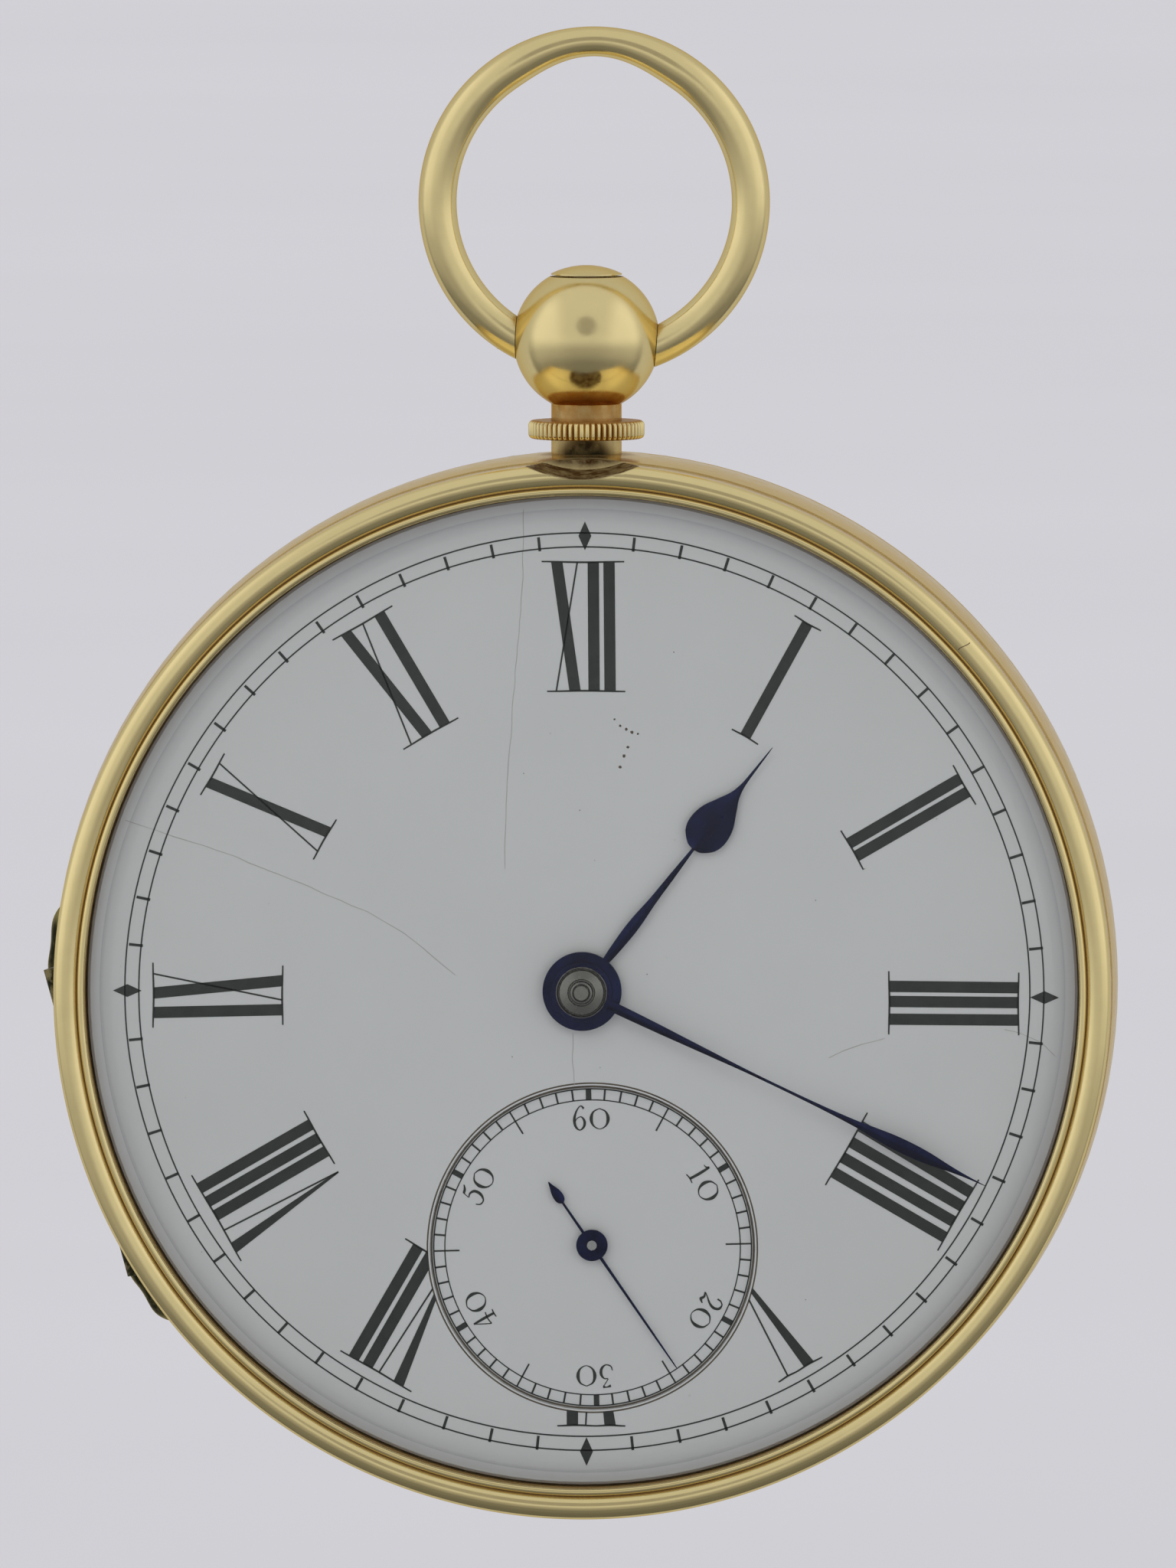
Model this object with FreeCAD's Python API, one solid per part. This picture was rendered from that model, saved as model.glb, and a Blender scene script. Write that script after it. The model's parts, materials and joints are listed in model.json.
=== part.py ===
import FreeCAD, Part
import math
import os
from FreeCAD import Vector

# Open face pocket watch. Millimetres.
# Drawn looking at the dial: x to 3 o'clock, y to 12 o'clock, z out of the dial, origin at the middle
# of the dial's front face. save() turns each piece upright so that +Z points to 12 o'clock.

# Case
CASE_R = 24.0
BAND_EDGE_R = 23.85
BAND_FRONT_Z = -1.5
BAND_BACK_Z = -9.0
BAND_MID_Z = -5.25
BAND_BORE_R = 21.7
LIP_R = 22.7
COVER_R = 23.8
COVER_WALL_R = 22.8
OPENING_R = 22.4

# Case hinges: clock direction of the middle, distance of the axis, barrel radius, length
BEZEL_HINGE = (254.7, 22.74, 0.55, 14.4)
BACK_HINGE = (180.0, 22.60, 0.60, 13.1)
HINGE_PIN_R = 0.25
HINGE_CLEARANCE = 0.04
KNUCKLES = 5

# Pendant and bow
BALL_Y = 29.1
BALL_R = 3.3
NECK_R = 1.59
BUTTON_R = 1.6
STEM_R = 0.85
COLLAR_R = 2.62
COLLAR_LOW_Y = 24.63
COLLAR_HIGH_Y = 25.45
COLLAR_RIDGES = 60
BOW_X = 0.35
BOW_Y = 35.3
BOW_OUTER_R = 7.93
BOW_SIDE_R = 0.86
BOW_TOP_R = 0.675

# Dial and hands
DIAL_R = 22.3
DIAL_T = 0.9
SECONDS_DIAL = (0.45, -11.6)
SECONDS_ARBOR = (0.43, -11.49)
SUNK_R = 7.3
SUNK_DEPTH = 0.28
HOUR_TURN = 37.9
MINUTE_TURN = 115.6
SECOND_TURN = 145.4

# Plates
WEB_FRONT_Z = -2.3
PLATE_BACK_Z = -3.9
TOP_FRONT_Z = -8.1
TOP_BACK_Z = -9.5
PLATE_R = 21.6
TOP_R = 20.5

# Train: teeth and modules
BARREL_TEETH, CENTRE_LEAVES, BARREL_MODULE = 80, 10, 0.19
CENTRE_TEETH, THIRD_LEAVES, CENTRE_MODULE = 80, 10, 0.155
THIRD_TEETH, FOURTH_LEAVES, THIRD_MODULE = 75, 10, 0.145
FOURTH_TEETH, ESCAPE_LEAVES, FOURTH_MODULE = 80, 8, 0.115
CANNON_LEAVES, MINUTE_TEETH, MINUTE_MODULE = 12, 36, 0.14
MINUTE_LEAVES, HOUR_TEETH = 10, 40
ESCAPE_TEETH = 15
ESCAPE_R = 3.2
RATCHET_TEETH = 24
RATCHET_R = 4.6
PIVOT_R = 0.12
PIVOT_CLEARANCE = 0.03


def mesh_distance(wheel, pinion, module):
    return (wheel + pinion) * module / 2


def polar(radius, degrees, start=(0, 0)):
    angle = math.radians(degrees)
    return (start[0] + radius * math.cos(angle), start[1] + radius * math.sin(angle))


def bearing(start, end):
    return math.degrees(math.atan2(end[1] - start[1], end[0] - start[0]))


def crossing(first, first_r, second, second_r):
    """The crossing of two circles on the left of the line from the first to the second."""
    gap = math.dist(first, second)
    along = (first_r ** 2 - second_r ** 2 + gap ** 2) / (2 * gap)
    aside = math.sqrt(first_r ** 2 - along ** 2)
    line = bearing(first, second)
    return polar(aside, line + 90, polar(along, line, first))


# Arbor positions
CENTRE = (0.0, 0.0)
FOURTH = SECONDS_ARBOR
THIRD = crossing(CENTRE, mesh_distance(CENTRE_TEETH, THIRD_LEAVES, CENTRE_MODULE),
                 FOURTH, mesh_distance(THIRD_TEETH, FOURTH_LEAVES, THIRD_MODULE))
BARREL = polar(mesh_distance(BARREL_TEETH, CENTRE_LEAVES, BARREL_MODULE), 65.8)
ESCAPEMENT_LINE = 144.3
ESCAPE = polar(mesh_distance(FOURTH_TEETH, ESCAPE_LEAVES, FOURTH_MODULE), ESCAPEMENT_LINE, FOURTH)
LEVER = polar(3.7, ESCAPEMENT_LINE, ESCAPE)
BALANCE = polar(5.6, ESCAPEMENT_LINE, LEVER)
MINUTE = polar(mesh_distance(MINUTE_TEETH, CANNON_LEAVES, MINUTE_MODULE), 135)
HOUR_MODULE = 2 * math.dist(CENTRE, MINUTE) / (MINUTE_LEAVES + HOUR_TEETH)
NOSE_WAY = 152.6
CLICK = polar(4.1, NOSE_WAY + 90, polar(6.0, NOSE_WAY, BARREL))
COCK_FOOT = (-13.5, 9.6)
PALLET_FOOT = (-11.8, -12.3)
PILLARS = [polar(18.7, degrees) for degrees in (22, 125, 243, 322)]
CASE_SCREWS = [polar(19.2, degrees) for degrees in (62, 282)]
DIAL_FEET = [polar(20.7, degrees) for degrees in (60, 180, 300)]


# Basic shapes

def rod(radius, low, high, at=(0, 0)):
    return Part.makeCylinder(radius, high - low, Vector(at[0], at[1], low))


def ring(inner, outer, low, high, at=(0, 0)):
    return rod(outer, low, high, at).cut(rod(inner, low - 1, high + 1, at))


def box(low, high):
    size = [high[i] - low[i] for i in range(3)]
    return Part.makeBox(size[0], size[1], size[2], Vector(*low))


def bar(start, end, width, low, high):
    """A straight bar with round ends."""
    length = math.dist(start, end)
    body = Part.makeBox(length, width, high - low, Vector(0, -width / 2, low))
    body.rotate(Vector(0, 0, 0), Vector(0, 0, 1), bearing(start, end))
    body.translate(Vector(start[0], start[1], 0))
    return body.fuse([rod(width / 2, low, high, start), rod(width / 2, low, high, end)]).removeSplitter()


def outline(points):
    """A closed flat outline of (a, b) corners; (a, b, via_a, via_b) reaches a corner by an arc."""
    edges = []
    last = Vector(points[-1][0], 0, points[-1][1])
    for point in points:
        here = Vector(point[0], 0, point[1])
        if len(point) == 4:
            edges.append(Part.Arc(last, Vector(point[2], 0, point[3]), here).toShape())
        else:
            edges.append(Part.makeLine(last, here))
        last = here
    return Part.Face(Part.Wire(edges))


def dome(edge_r, edge_z, top_z):
    """A point halfway along the arc that rises from an edge to a level top on the axis."""
    rise = top_z - edge_z
    sphere_r = (edge_r ** 2 + rise ** 2) / (2 * abs(rise))
    fall = sphere_r - math.sqrt(sphere_r ** 2 - edge_r ** 2 / 4)
    return (edge_r / 2, top_z - math.copysign(fall, rise))


def lathe(points, at=(0, 0)):
    """Turns an outline of (radius, z) corners about a line square to the dial."""
    turned = outline(points).revolve(Vector(0, 0, 0), Vector(0, 0, 1), 360)
    turned.translate(Vector(at[0], at[1], 0))
    return turned


def pendant_lathe(points):
    """Turns an outline of (radius, y) corners about the pendant's own axis."""
    turned = outline(points).revolve(Vector(0, 0, 0), Vector(0, 0, 1), 360)
    turned.rotate(Vector(0, 0, 0), Vector(1, 0, 0), -90)
    turned.translate(Vector(0, 0, BAND_MID_Z))
    return turned


def pendant_rod(radius, low, high):
    return Part.makeCylinder(radius, high - low, Vector(0, low, BAND_MID_Z), Vector(0, 1, 0))


def extrude(corners, low, high):
    points = [Vector(x, y, low) for x, y in corners]
    face = Part.Face(Part.makePolygon(points + [points[0]]))
    return face.extrude(Vector(0, 0, high - low))


def slotted(screw, radius, top, at):
    """Cuts a driver slot into the back end of a screw."""
    slot = box((-radius - 0.1, -0.1, top - 0.1), (radius + 0.1, 0.1, top + 0.25))
    slot.translate(Vector(at[0], at[1], 0))
    return screw.cut(slot)


def screw_from_back(at, head_r, head_low, head_high, shank_r, shank_top):
    screw = rod(head_r, head_low, head_high, at).fuse(rod(shank_r, head_high - 0.1, shank_top, at))
    return slotted(screw.removeSplitter(), head_r, head_low, at)


# Gears

def gear(teeth, module, low, high, at, phase, fill=0.44, tip=1.0, foot=1.3):
    """A watch gear: radial flanks, rounded tips, one tooth centred on the phase direction."""
    pitch_r = teeth * module / 2
    half = math.degrees(fill * math.pi * module / 2 / pitch_r)
    edges = []
    last = None
    for tooth in range(teeth):
        middle = phase + 360 * tooth / teeth
        root_in = Vector(*polar(pitch_r - foot * module, middle - half, at), low)
        side_in = Vector(*polar(pitch_r, middle - half, at), low)
        peak = Vector(*polar(pitch_r + tip * module, middle, at), low)
        side_out = Vector(*polar(pitch_r, middle + half, at), low)
        root_out = Vector(*polar(pitch_r - foot * module, middle + half, at), low)
        if last is None:
            first = root_in
        else:
            edges.append(Part.makeLine(last, root_in))
        edges.append(Part.makeLine(root_in, side_in))
        edges.append(Part.Arc(side_in, peak, side_out).toShape())
        edges.append(Part.makeLine(side_out, root_out))
        last = root_out
    edges.append(Part.makeLine(last, first))
    return Part.Face(Part.Wire(edges)).extrude(Vector(0, 0, high - low))


def windows(inner, outer, low, high, at, arms, width, turn=0):
    """The openings between the arms of a wheel."""
    openings = ring(inner, outer, low - 0.5, high + 0.5, at)
    for arm in range(arms):
        end = polar(outer + 1, turn + 360 * arm / arms, at)
        openings = openings.cut(bar(at, end, width, low - 1, high + 1))
    return openings


def train_wheel(teeth, module, low, high, at, phase, bore, hub, width):
    rim = teeth * module / 2 - 4.0 * module
    wheel = gear(teeth, module, low, high, at, phase)
    wheel = wheel.cut(windows(hub, rim, low, high, at, 4, width, 20))
    return wheel.cut(rod(bore, low - 1, high + 1, at))


def leaves(count, module, low, high, at, toward):
    """A pinion with a gap facing the tooth of the wheel it meets."""
    return gear(count, module, low, high, at, bearing(at, toward) + 180 / count, 0.36, 0.75, 1.3)


def arbor(at, radius, low, high, front, back, pivot=PIVOT_R):
    """A round arbor between low and high with thinner pivots reaching front and back."""
    body = rod(radius, low, high, at)
    return body.fuse([rod(pivot, high - 0.1, front, at), rod(pivot, back, low + 0.1, at)])


# Case hinges

def hinge_place(shape, hinge, z):
    """Moves a shape drawn on the hinge axis (x along it, y outwards) to its place on the case."""
    direction = 90 - hinge[0]
    shape.rotate(Vector(0, 0, 0), Vector(0, 0, 1), direction - 90)
    shape.translate(Vector(*polar(hinge[1], direction), z))
    return shape


def hinge_rod(hinge, radius, start, end, z):
    rod_along = Part.makeCylinder(radius, end - start, Vector(start, 0, 0), Vector(1, 0, 0))
    return hinge_place(rod_along, hinge, z)


def knuckle_spans(hinge, side):
    """Start and end of every second knuckle; side 0 belongs to the band, 1 to the lid."""
    pitch = hinge[3] / KNUCKLES
    start = -hinge[3] / 2
    return [(start + pitch * i, start + pitch * (i + 1)) for i in range(side, KNUCKLES, 2)]


def add_knuckles(lid_or_band, hinge, z, side, bore):
    """Clears the other side's knuckles, then joins on this side's own."""
    for start, end in knuckle_spans(hinge, 1 - side):
        lid_or_band = lid_or_band.cut(hinge_rod(hinge, hinge[2] + 0.07, start - 0.04, end + 0.04, z))
    for start, end in knuckle_spans(hinge, side):
        lid_or_band = lid_or_band.fuse(hinge_rod(hinge, hinge[2], start + 0.03, end - 0.03, z))
    lid_or_band = lid_or_band.removeSplitter()
    return lid_or_band.cut(hinge_rod(hinge, bore, -hinge[3], hinge[3], z))


def hinge_scoop(hinge, z, reach, lid_side):
    """The room the lid's edge swings through, hollowed out of the band beside the axis."""
    half = hinge[3] / 2 + 0.05
    scoop = Part.makeCylinder(reach, 2 * half, Vector(-half, 0, 0), Vector(1, 0, 0))
    if lid_side > 0:
        side = box((-half - 1, -0.25, -4), (half + 1, 4, 0))
    else:
        side = box((-half - 1, -0.25, 0), (half + 1, 4, 4))
    return hinge_place(scoop.common(side), hinge, z)


def hinge_block(hinge):
    block = box((-hinge[3] / 2 - 1.5, -4, -12), (hinge[3] / 2 + 1.5, 4, 2))
    return hinge_place(block, hinge, 0)


# Case

def case_band():
    band = lathe([(22.40, -0.40), (LIP_R, -0.40), (LIP_R, BAND_FRONT_Z), (BAND_EDGE_R, BAND_FRONT_Z),
                  (BAND_EDGE_R, BAND_BACK_Z, CASE_R, BAND_MID_Z), (LIP_R, BAND_BACK_Z), (LIP_R, -11.0),
                  (BAND_BORE_R, -11.0), (BAND_BORE_R, -9.5), (20.8, -9.5), (20.8, -8.9),
                  (BAND_BORE_R, -8.5), (BAND_BORE_R, -1.62), (22.40, -1.62)])
    hollow = lathe([(21.0, -2.6), (22.8, -2.6), (22.8, -8.4), (21.0, -8.4)])
    hollow = hollow.cut([hinge_block(BEZEL_HINGE), hinge_block(BACK_HINGE)])
    band = band.cut(hollow)
    pad = ring(22.32, 23.0, -6.4, -4.1).common(bar((0, 0), polar(24, 53.5), 2.4, -7, -4))
    band = band.fuse(pad)
    band = band.cut(hinge_scoop(BEZEL_HINGE, BAND_FRONT_Z, 1.6, 1))
    band = band.cut(hinge_scoop(BACK_HINGE, BAND_BACK_Z, 1.75, -1))
    band = add_knuckles(band, BEZEL_HINGE, BAND_FRONT_Z, 0, HINGE_PIN_R)
    band = add_knuckles(band, BACK_HINGE, BAND_BACK_Z, 0, HINGE_PIN_R)
    band = band.cut(pendant_rod(NECK_R, 21, 25))
    band = band.cut(box((-1.6, 20.5, -10.55), (1.6, 22.75, -8.2)))
    return band.cut(radial_rod(0.4, 22.0, 23.3, 53.5))


def radial_rod(radius, start, end, degrees):
    """A rod pointing outwards from the movement's middle, halfway up the band."""
    tip = polar(start, degrees)
    way = polar(1, degrees)
    return Part.makeCylinder(radius, end - start, Vector(tip[0], tip[1], BAND_MID_Z),
                             Vector(way[0], way[1], 0))


def bezel():
    body = lathe([(COVER_WALL_R, -1.45), (COVER_R, -1.45), (COVER_R, 1.0),
                  (22.72, 1.06, 23.28, 1.38), (OPENING_R, 1.05, 22.56, 1.30),
                  (OPENING_R, 0.75), (22.64, 0.75), (22.64, 0.12), (OPENING_R, 0.12),
                  (OPENING_R, -0.30), (COVER_WALL_R, -0.30)])
    body = body.cut(Part.makeSphere(5.3, Vector(0, 28.38, 0.4)))
    return add_knuckles(body, BEZEL_HINGE, BAND_FRONT_Z, 1, HINGE_PIN_R + HINGE_CLEARANCE)


def crystal():
    return lathe([(22.60, 0.15), (22.60, 0.70), (22.36, 0.74), (20.6, 1.95, 21.85, 1.45),
                  (0, 3.2, *dome(20.6, 1.95, 3.2)), (0, 2.6), (20.3, 1.38, *dome(20.3, 1.38, 2.6)),
                  (21.75, 0.15, 21.3, 0.95)])


def back_cover():
    body = lathe([(COVER_WALL_R, -9.05), (COVER_R, -9.05), (COVER_R, -10.3),
                  (22.4, -12.0, 23.45, -11.5), (5.0, -13.3, 12, -12.98), (0, -13.3), (0, -12.8),
                  (22.45, -11.55, *dome(22.45, -11.55, -12.8)), (COVER_WALL_R, -11.1)])
    return add_knuckles(body, BACK_HINGE, BAND_BACK_Z, 1, HINGE_PIN_R + HINGE_CLEARANCE)


def hinge_pin(hinge, z):
    return hinge_rod(hinge, HINGE_PIN_R, -hinge[3] / 2, hinge[3] / 2, z)


def dust_cover():
    body = lathe([(21.35, -10.6), (21.65, -10.6), (21.65, -11.02), (22.3, -11.02), (22.3, -11.3),
                  (0, -11.95, *dome(22.3, -11.3, -11.95)), (0, -11.6),
                  (21.35, -11.05, *dome(21.35, -11.05, -11.6))])
    return body.cut([rod(1.7, -13, -10, CENTRE), rod(1.7, -13, -10, BARREL)])


def pendant():
    ball = Part.makeSphere(BALL_R, Vector(0, BALL_Y, BAND_MID_Z))
    body = ball.fuse(pendant_rod(NECK_R, 22.85, 27.0)).removeSplitter()
    body = body.cut([pendant_rod(STEM_R + 0.05, 21, 34), pendant_rod(BUTTON_R + 0.05, 31.25, 34)])
    for side in (-1, 1):
        body = body.cut(Part.makeCylinder(0.48, 2, Vector(side * 2.3, BALL_Y, BAND_MID_Z),
                                          Vector(side, 0, 0)))
    return body


def knurled_collar():
    ridge_r = 0.11
    body = pendant_lathe([(NECK_R, COLLAR_LOW_Y), (2.4, COLLAR_LOW_Y),
                          (COLLAR_R, COLLAR_LOW_Y + 0.2, 2.56, COLLAR_LOW_Y + 0.06),
                          (COLLAR_R, COLLAR_HIGH_Y - 0.2),
                          (2.4, COLLAR_HIGH_Y, 2.56, COLLAR_HIGH_Y - 0.06), (NECK_R, COLLAR_HIGH_Y)])
    grooves = []
    for ridge in range(COLLAR_RIDGES):
        x, z = polar(COLLAR_R + 0.035, 360 * ridge / COLLAR_RIDGES)
        grooves.append(Part.makeCylinder(ridge_r, 2, Vector(x, 24, z + BAND_MID_Z), Vector(0, 1, 0)))
    return body.cut(grooves)


def push_button():
    cap = pendant_lathe([(0, 32.03), (BUTTON_R, 32.03), (BUTTON_R, 32.08),
                         (0, 32.46, *dome(BUTTON_R, 32.08, 32.46))])
    return cap.fuse(pendant_rod(STEM_R, 22.36, 32.1)).removeSplitter()


def catch_spring():
    leaf = ring(22.0, 22.3, -6.4, -4.1)
    span = extrude([(0, 0), polar(30, 51), (12, 30), (-1.2, 30), (-1.2, 0)], -7, -4)
    leaf = leaf.common(span)
    tongue = box((-1.0, 21.9, -10.3), (1.0, 22.25, -6.2))
    nose = box((-1.0, 22.0, -10.3), (1.0, 22.72, -9.9))
    root = rod(0.16, -6.4, -4.1, polar(22.15, 51))
    leaf = leaf.fuse([tongue, nose, root]).removeSplitter()
    return leaf.cut(radial_rod(0.45, 21, 23, 53.5))


def catch_screw():
    head = radial_rod(0.8, 21.5, 21.92, 53.5)
    return head.fuse(radial_rod(0.4, 21.8, 23.2, 53.5)).removeSplitter()


def bow():
    hoops = []
    for step in range(-23, 24):
        turn = step * 7.0
        part_way = math.sin(math.radians(90 * min(abs(turn) / 35, 1.0))) ** 2
        wire_r = BOW_TOP_R + (BOW_SIDE_R - BOW_TOP_R) * part_way
        x, y = polar(BOW_OUTER_R - wire_r, 90 - turn)
        way = polar(1, -turn)
        hoop = Part.makeCircle(wire_r, Vector(BOW_X + x, BOW_Y + y, BAND_MID_Z), Vector(way[0], way[1], 0))
        hoops.append(Part.Wire([hoop]))
    wire = Part.makeLoft(hoops, True)
    wire = wire.cut(Part.makeSphere(BALL_R + 0.05, Vector(0, BALL_Y, BAND_MID_Z)))
    pins = []
    for side in (-1, 1):
        pins.append(Part.makeCylinder(0.45, 1.7, Vector(side * 2.35, BALL_Y, BAND_MID_Z),
                                      Vector(side, 0, 0)))
    return wire.fuse(pins).removeSplitter()


# Plates and fixed movement pieces

def jewel(at, bore, low, high):
    return ring(bore, 0.75, low, high, at)


LOWER_PIVOTS = [(THIRD, PIVOT_R), (FOURTH, 0.22), (ESCAPE, PIVOT_R), (LEVER, PIVOT_R), (BALANCE, PIVOT_R)]
UPPER_PIVOTS = [(THIRD, PIVOT_R), (FOURTH, PIVOT_R), (ESCAPE, PIVOT_R)]


def lower_jewels():
    stones = [jewel(at, pivot + PIVOT_CLEARANCE, -3.9, -3.4) for at, pivot in LOWER_PIVOTS]
    return Part.makeCompound(stones)


def upper_jewels():
    stones = [jewel(at, pivot + PIVOT_CLEARANCE, -8.6, -8.1) for at, pivot in UPPER_PIVOTS]
    stones.append(jewel(LEVER, PIVOT_R + PIVOT_CLEARANCE, -6.4, -6.0))
    stones.append(jewel(BALANCE, PIVOT_R + PIVOT_CLEARANCE, -10.0, -9.5))
    return Part.makeCompound(stones)


def pillar_plate():
    plate = rod(22.2, -1.6, -0.9).fuse(rod(PLATE_R, PLATE_BACK_Z, -1.5)).removeSplitter()
    plate = plate.cut(rod(19.6, WEB_FRONT_Z, -0.5))
    holes = [rod(0.74, -5, 0, CENTRE), rod(1.34, -5, 0, BARREL)]
    for at, pivot in LOWER_PIVOTS:
        holes.append(rod(0.75, -4, -3.4, at))
        holes.append(rod(0.45, -4, 0, at))
    for at in DIAL_FEET:
        holes.append(rod(0.43, -3.5, 0, at))
    for at in PILLARS:
        holes.append(rod(0.7, -4, -2.9, at))
    for at in (PALLET_FOOT,):
        holes.append(rod(0.4, -4, -3.0, at))
    plate = plate.cut(holes)
    post = rod(0.3, WEB_FRONT_Z - 0.2, -1.0, MINUTE)
    return plate.fuse(post).removeSplitter()


def pillars():
    posts = []
    for at in PILLARS:
        post = lathe([(0, -2.9), (0.7, -2.9), (0.7, -3.9), (1.15, -3.9), (1.15, -4.3),
                      (1.15, -7.7, 0.85, -6.0), (1.15, -8.1), (0, -8.1)], at)
        posts.append(post.cut(rod(0.45, -9, -5.6, at)))
    return Part.makeCompound(posts)


def plate_screws():
    screws = [screw_from_back(at, 1.1, -10.0, -9.5, 0.45, -5.7) for at in PILLARS]
    return Part.makeCompound(screws)


def case_screws():
    screws = [screw_from_back(at, 1.9, -9.9, -9.5, 0.6, -8.3) for at in CASE_SCREWS]
    return Part.makeCompound(screws)


def top_plate():
    plate = rod(TOP_R, TOP_BACK_Z, TOP_FRONT_Z)
    balance_well = rod(8.0, -10, -8, BALANCE)
    rim_gap = bar(BALANCE, polar(25, bearing(CENTRE, BALANCE)), 13.0, -10, -8)
    holes = [balance_well, rim_gap, rod(0.74, -10, -8, CENTRE), rod(1.34, -10, -8, BARREL)]
    for at, pivot in UPPER_PIVOTS:
        holes.append(rod(0.75, -8.6, -8, at))
        holes.append(lathe([(0, -9.6), (0.9, -9.6), (0.9, -9.5), (0.3, -9.0), (0.3, -8.0), (0, -8.0)], at))
    for at in PILLARS:
        holes.append(rod(0.47, -10, -8, at))
    for at in CASE_SCREWS:
        holes.append(rod(0.6, -10, -8.2, at))
    holes.append(rod(0.5, -10, -8.6, COCK_FOOT))
    holes.append(rod(0.35, -10, -8.8, CLICK))
    for at in cock_pins():
        holes.append(rod(0.3, -10, -8.8, at))
    return plate.cut(holes)


def cock_pins():
    line = bearing(COCK_FOOT, BALANCE)
    return [polar(1.5, line + 90, COCK_FOOT), polar(1.5, line - 90, COCK_FOOT)]


def balance_cock():
    line = bearing(COCK_FOOT, BALANCE)
    foot = rod(2.3, -10.3, -9.5, COCK_FOOT)
    arm = extrude([polar(2.3, line + 90, COCK_FOOT), polar(1.7, line + 90, BALANCE),
                   polar(1.7, line - 90, BALANCE), polar(2.3, line - 90, COCK_FOOT)], -10.3, -9.5)
    table = rod(2.6, -10.3, -9.5, BALANCE)
    lug = bar(BALANCE, polar(3.7, 20, BALANCE), 1.1, -10.3, -9.5)
    collar = rod(1.2, -10.62, -10.2, BALANCE)
    cock = foot.fuse([arm, table, lug, collar]).removeSplitter()
    holes = [rod(0.75, -10.0, -9.4, BALANCE), rod(0.3, -10.4, -9.4, BALANCE),
             rod(0.8, -10.7, -10.35, BALANCE), rod(0.5, -10.4, -9.4, COCK_FOOT),
             rod(0.95, -10.4, -10.0, COCK_FOOT), rod(0.2, -10.4, -9.4, polar(3.7, 20, BALANCE))]
    cock = cock.cut(holes)
    pins = [rod(0.3, -9.6, -8.9, at) for at in cock_pins()]
    return cock.fuse(pins).removeSplitter()


def endstone():
    return lathe([(0, -10.35), (0.8, -10.35), (0.8, -10.55), (0, -10.68, *dome(0.8, -10.55, -10.68))],
                 BALANCE)


def hairspring_stud():
    at = polar(3.7, 20, BALANCE)
    return rod(0.2, -10.3, -9.4, at).fuse(rod(0.27, -9.5, -8.75, at)).removeSplitter()


def pallet_cock():
    cock = bar(PALLET_FOOT, LEVER, 2.6, -6.8, -6.0)
    cock = cock.fuse(rod(1.7, -6.8, PLATE_BACK_Z, PALLET_FOOT)).removeSplitter()
    holes = [rod(0.75, -6.4, -5.9, LEVER), rod(0.3, -7, -5.9, LEVER), rod(0.42, -7, -3, PALLET_FOOT)]
    return cock.cut(holes)


def cock_screws():
    pallet = screw_from_back(PALLET_FOOT, 0.9, -7.25, -6.8, 0.4, -3.1)
    balance = screw_from_back(COCK_FOOT, 0.9, -10.45, -10.0, 0.5, -8.7)
    return Part.makeCompound([pallet, balance])


# Barrel and winding

def barrel_drum():
    phase = bearing(BARREL, CENTRE)
    teeth = gear(BARREL_TEETH, BARREL_MODULE, -7.75, -7.15, BARREL, phase)
    drum = teeth.fuse(rod(7.05, -7.75, -4.95, BARREL)).removeSplitter()
    return drum.cut([rod(6.7, -7.4, -4.9, BARREL), rod(1.05, -8, -7, BARREL)])


def barrel_cover():
    return ring(1.05, 6.85, -4.95, -4.75, BARREL).fuse(ring(6.3, 6.68, -5.1, -4.9, BARREL)).removeSplitter()


def barrel_arbor():
    hub = rod(2.0, -7.3, -5.2, BARREL)
    shaft = rod(1.0, -9.5, -4.0, BARREL)
    pivots = rod(1.3, -4.65, -3.0, BARREL).fuse(rod(1.3, -9.5, -7.85, BARREL))
    square = box((-0.7, -0.7, -10.95), (0.7, 0.7, -9.4))
    square.translate(Vector(BARREL[0], BARREL[1], 0))
    return hub.fuse([shaft, pivots, square]).removeSplitter()


def spiral(inner, outer, turns, thickness, low, high, at, end_angle, steps):
    """A flat strip wound from the inner to the outer radius, ending at end_angle."""
    sides = []
    for offset in (-thickness / 2, thickness / 2):
        points = []
        for step in range(int(turns * steps) + 1):
            share = step / (turns * steps)
            radius = inner + (outer - inner) * share + offset
            point = polar(radius, end_angle - 360 * turns * (1 - share), at)
            points.append(Vector(point[0], point[1], low))
        curve = Part.BSplineCurve()
        curve.interpolate(points)
        sides.append(curve.toShape())
    ends = [Part.makeLine(sides[0].Vertexes[i].Point, sides[1].Vertexes[i].Point) for i in (0, -1)]
    wire = Part.Wire(Part.sortEdges([sides[0], ends[1], sides[1], ends[0]])[0])
    return Part.Face(wire).extrude(Vector(0, 0, high - low))


def mainspring():
    return spiral(2.3, 6.5, 9, 0.18, -7.25, -5.25, BARREL, 0, 16)


def hairspring():
    return spiral(0.82, 3.42, 9, 0.06, -9.05, -8.8, BALANCE, 18, 16)


def ratchet_wheel():
    corners = []
    for tooth in range(RATCHET_TEETH):
        turn = 150 + 360 * tooth / RATCHET_TEETH
        corners.append(polar(RATCHET_R, turn, BARREL))
        corners.append(polar(RATCHET_R - 0.55, turn + 1.0, BARREL))
    wheel = extrude(corners, -10.1, -9.55)
    square = box((-0.7, -0.7, -11), (0.7, 0.7, -9))
    square.translate(Vector(BARREL[0], BARREL[1], 0))
    return wheel.cut(square)


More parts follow.
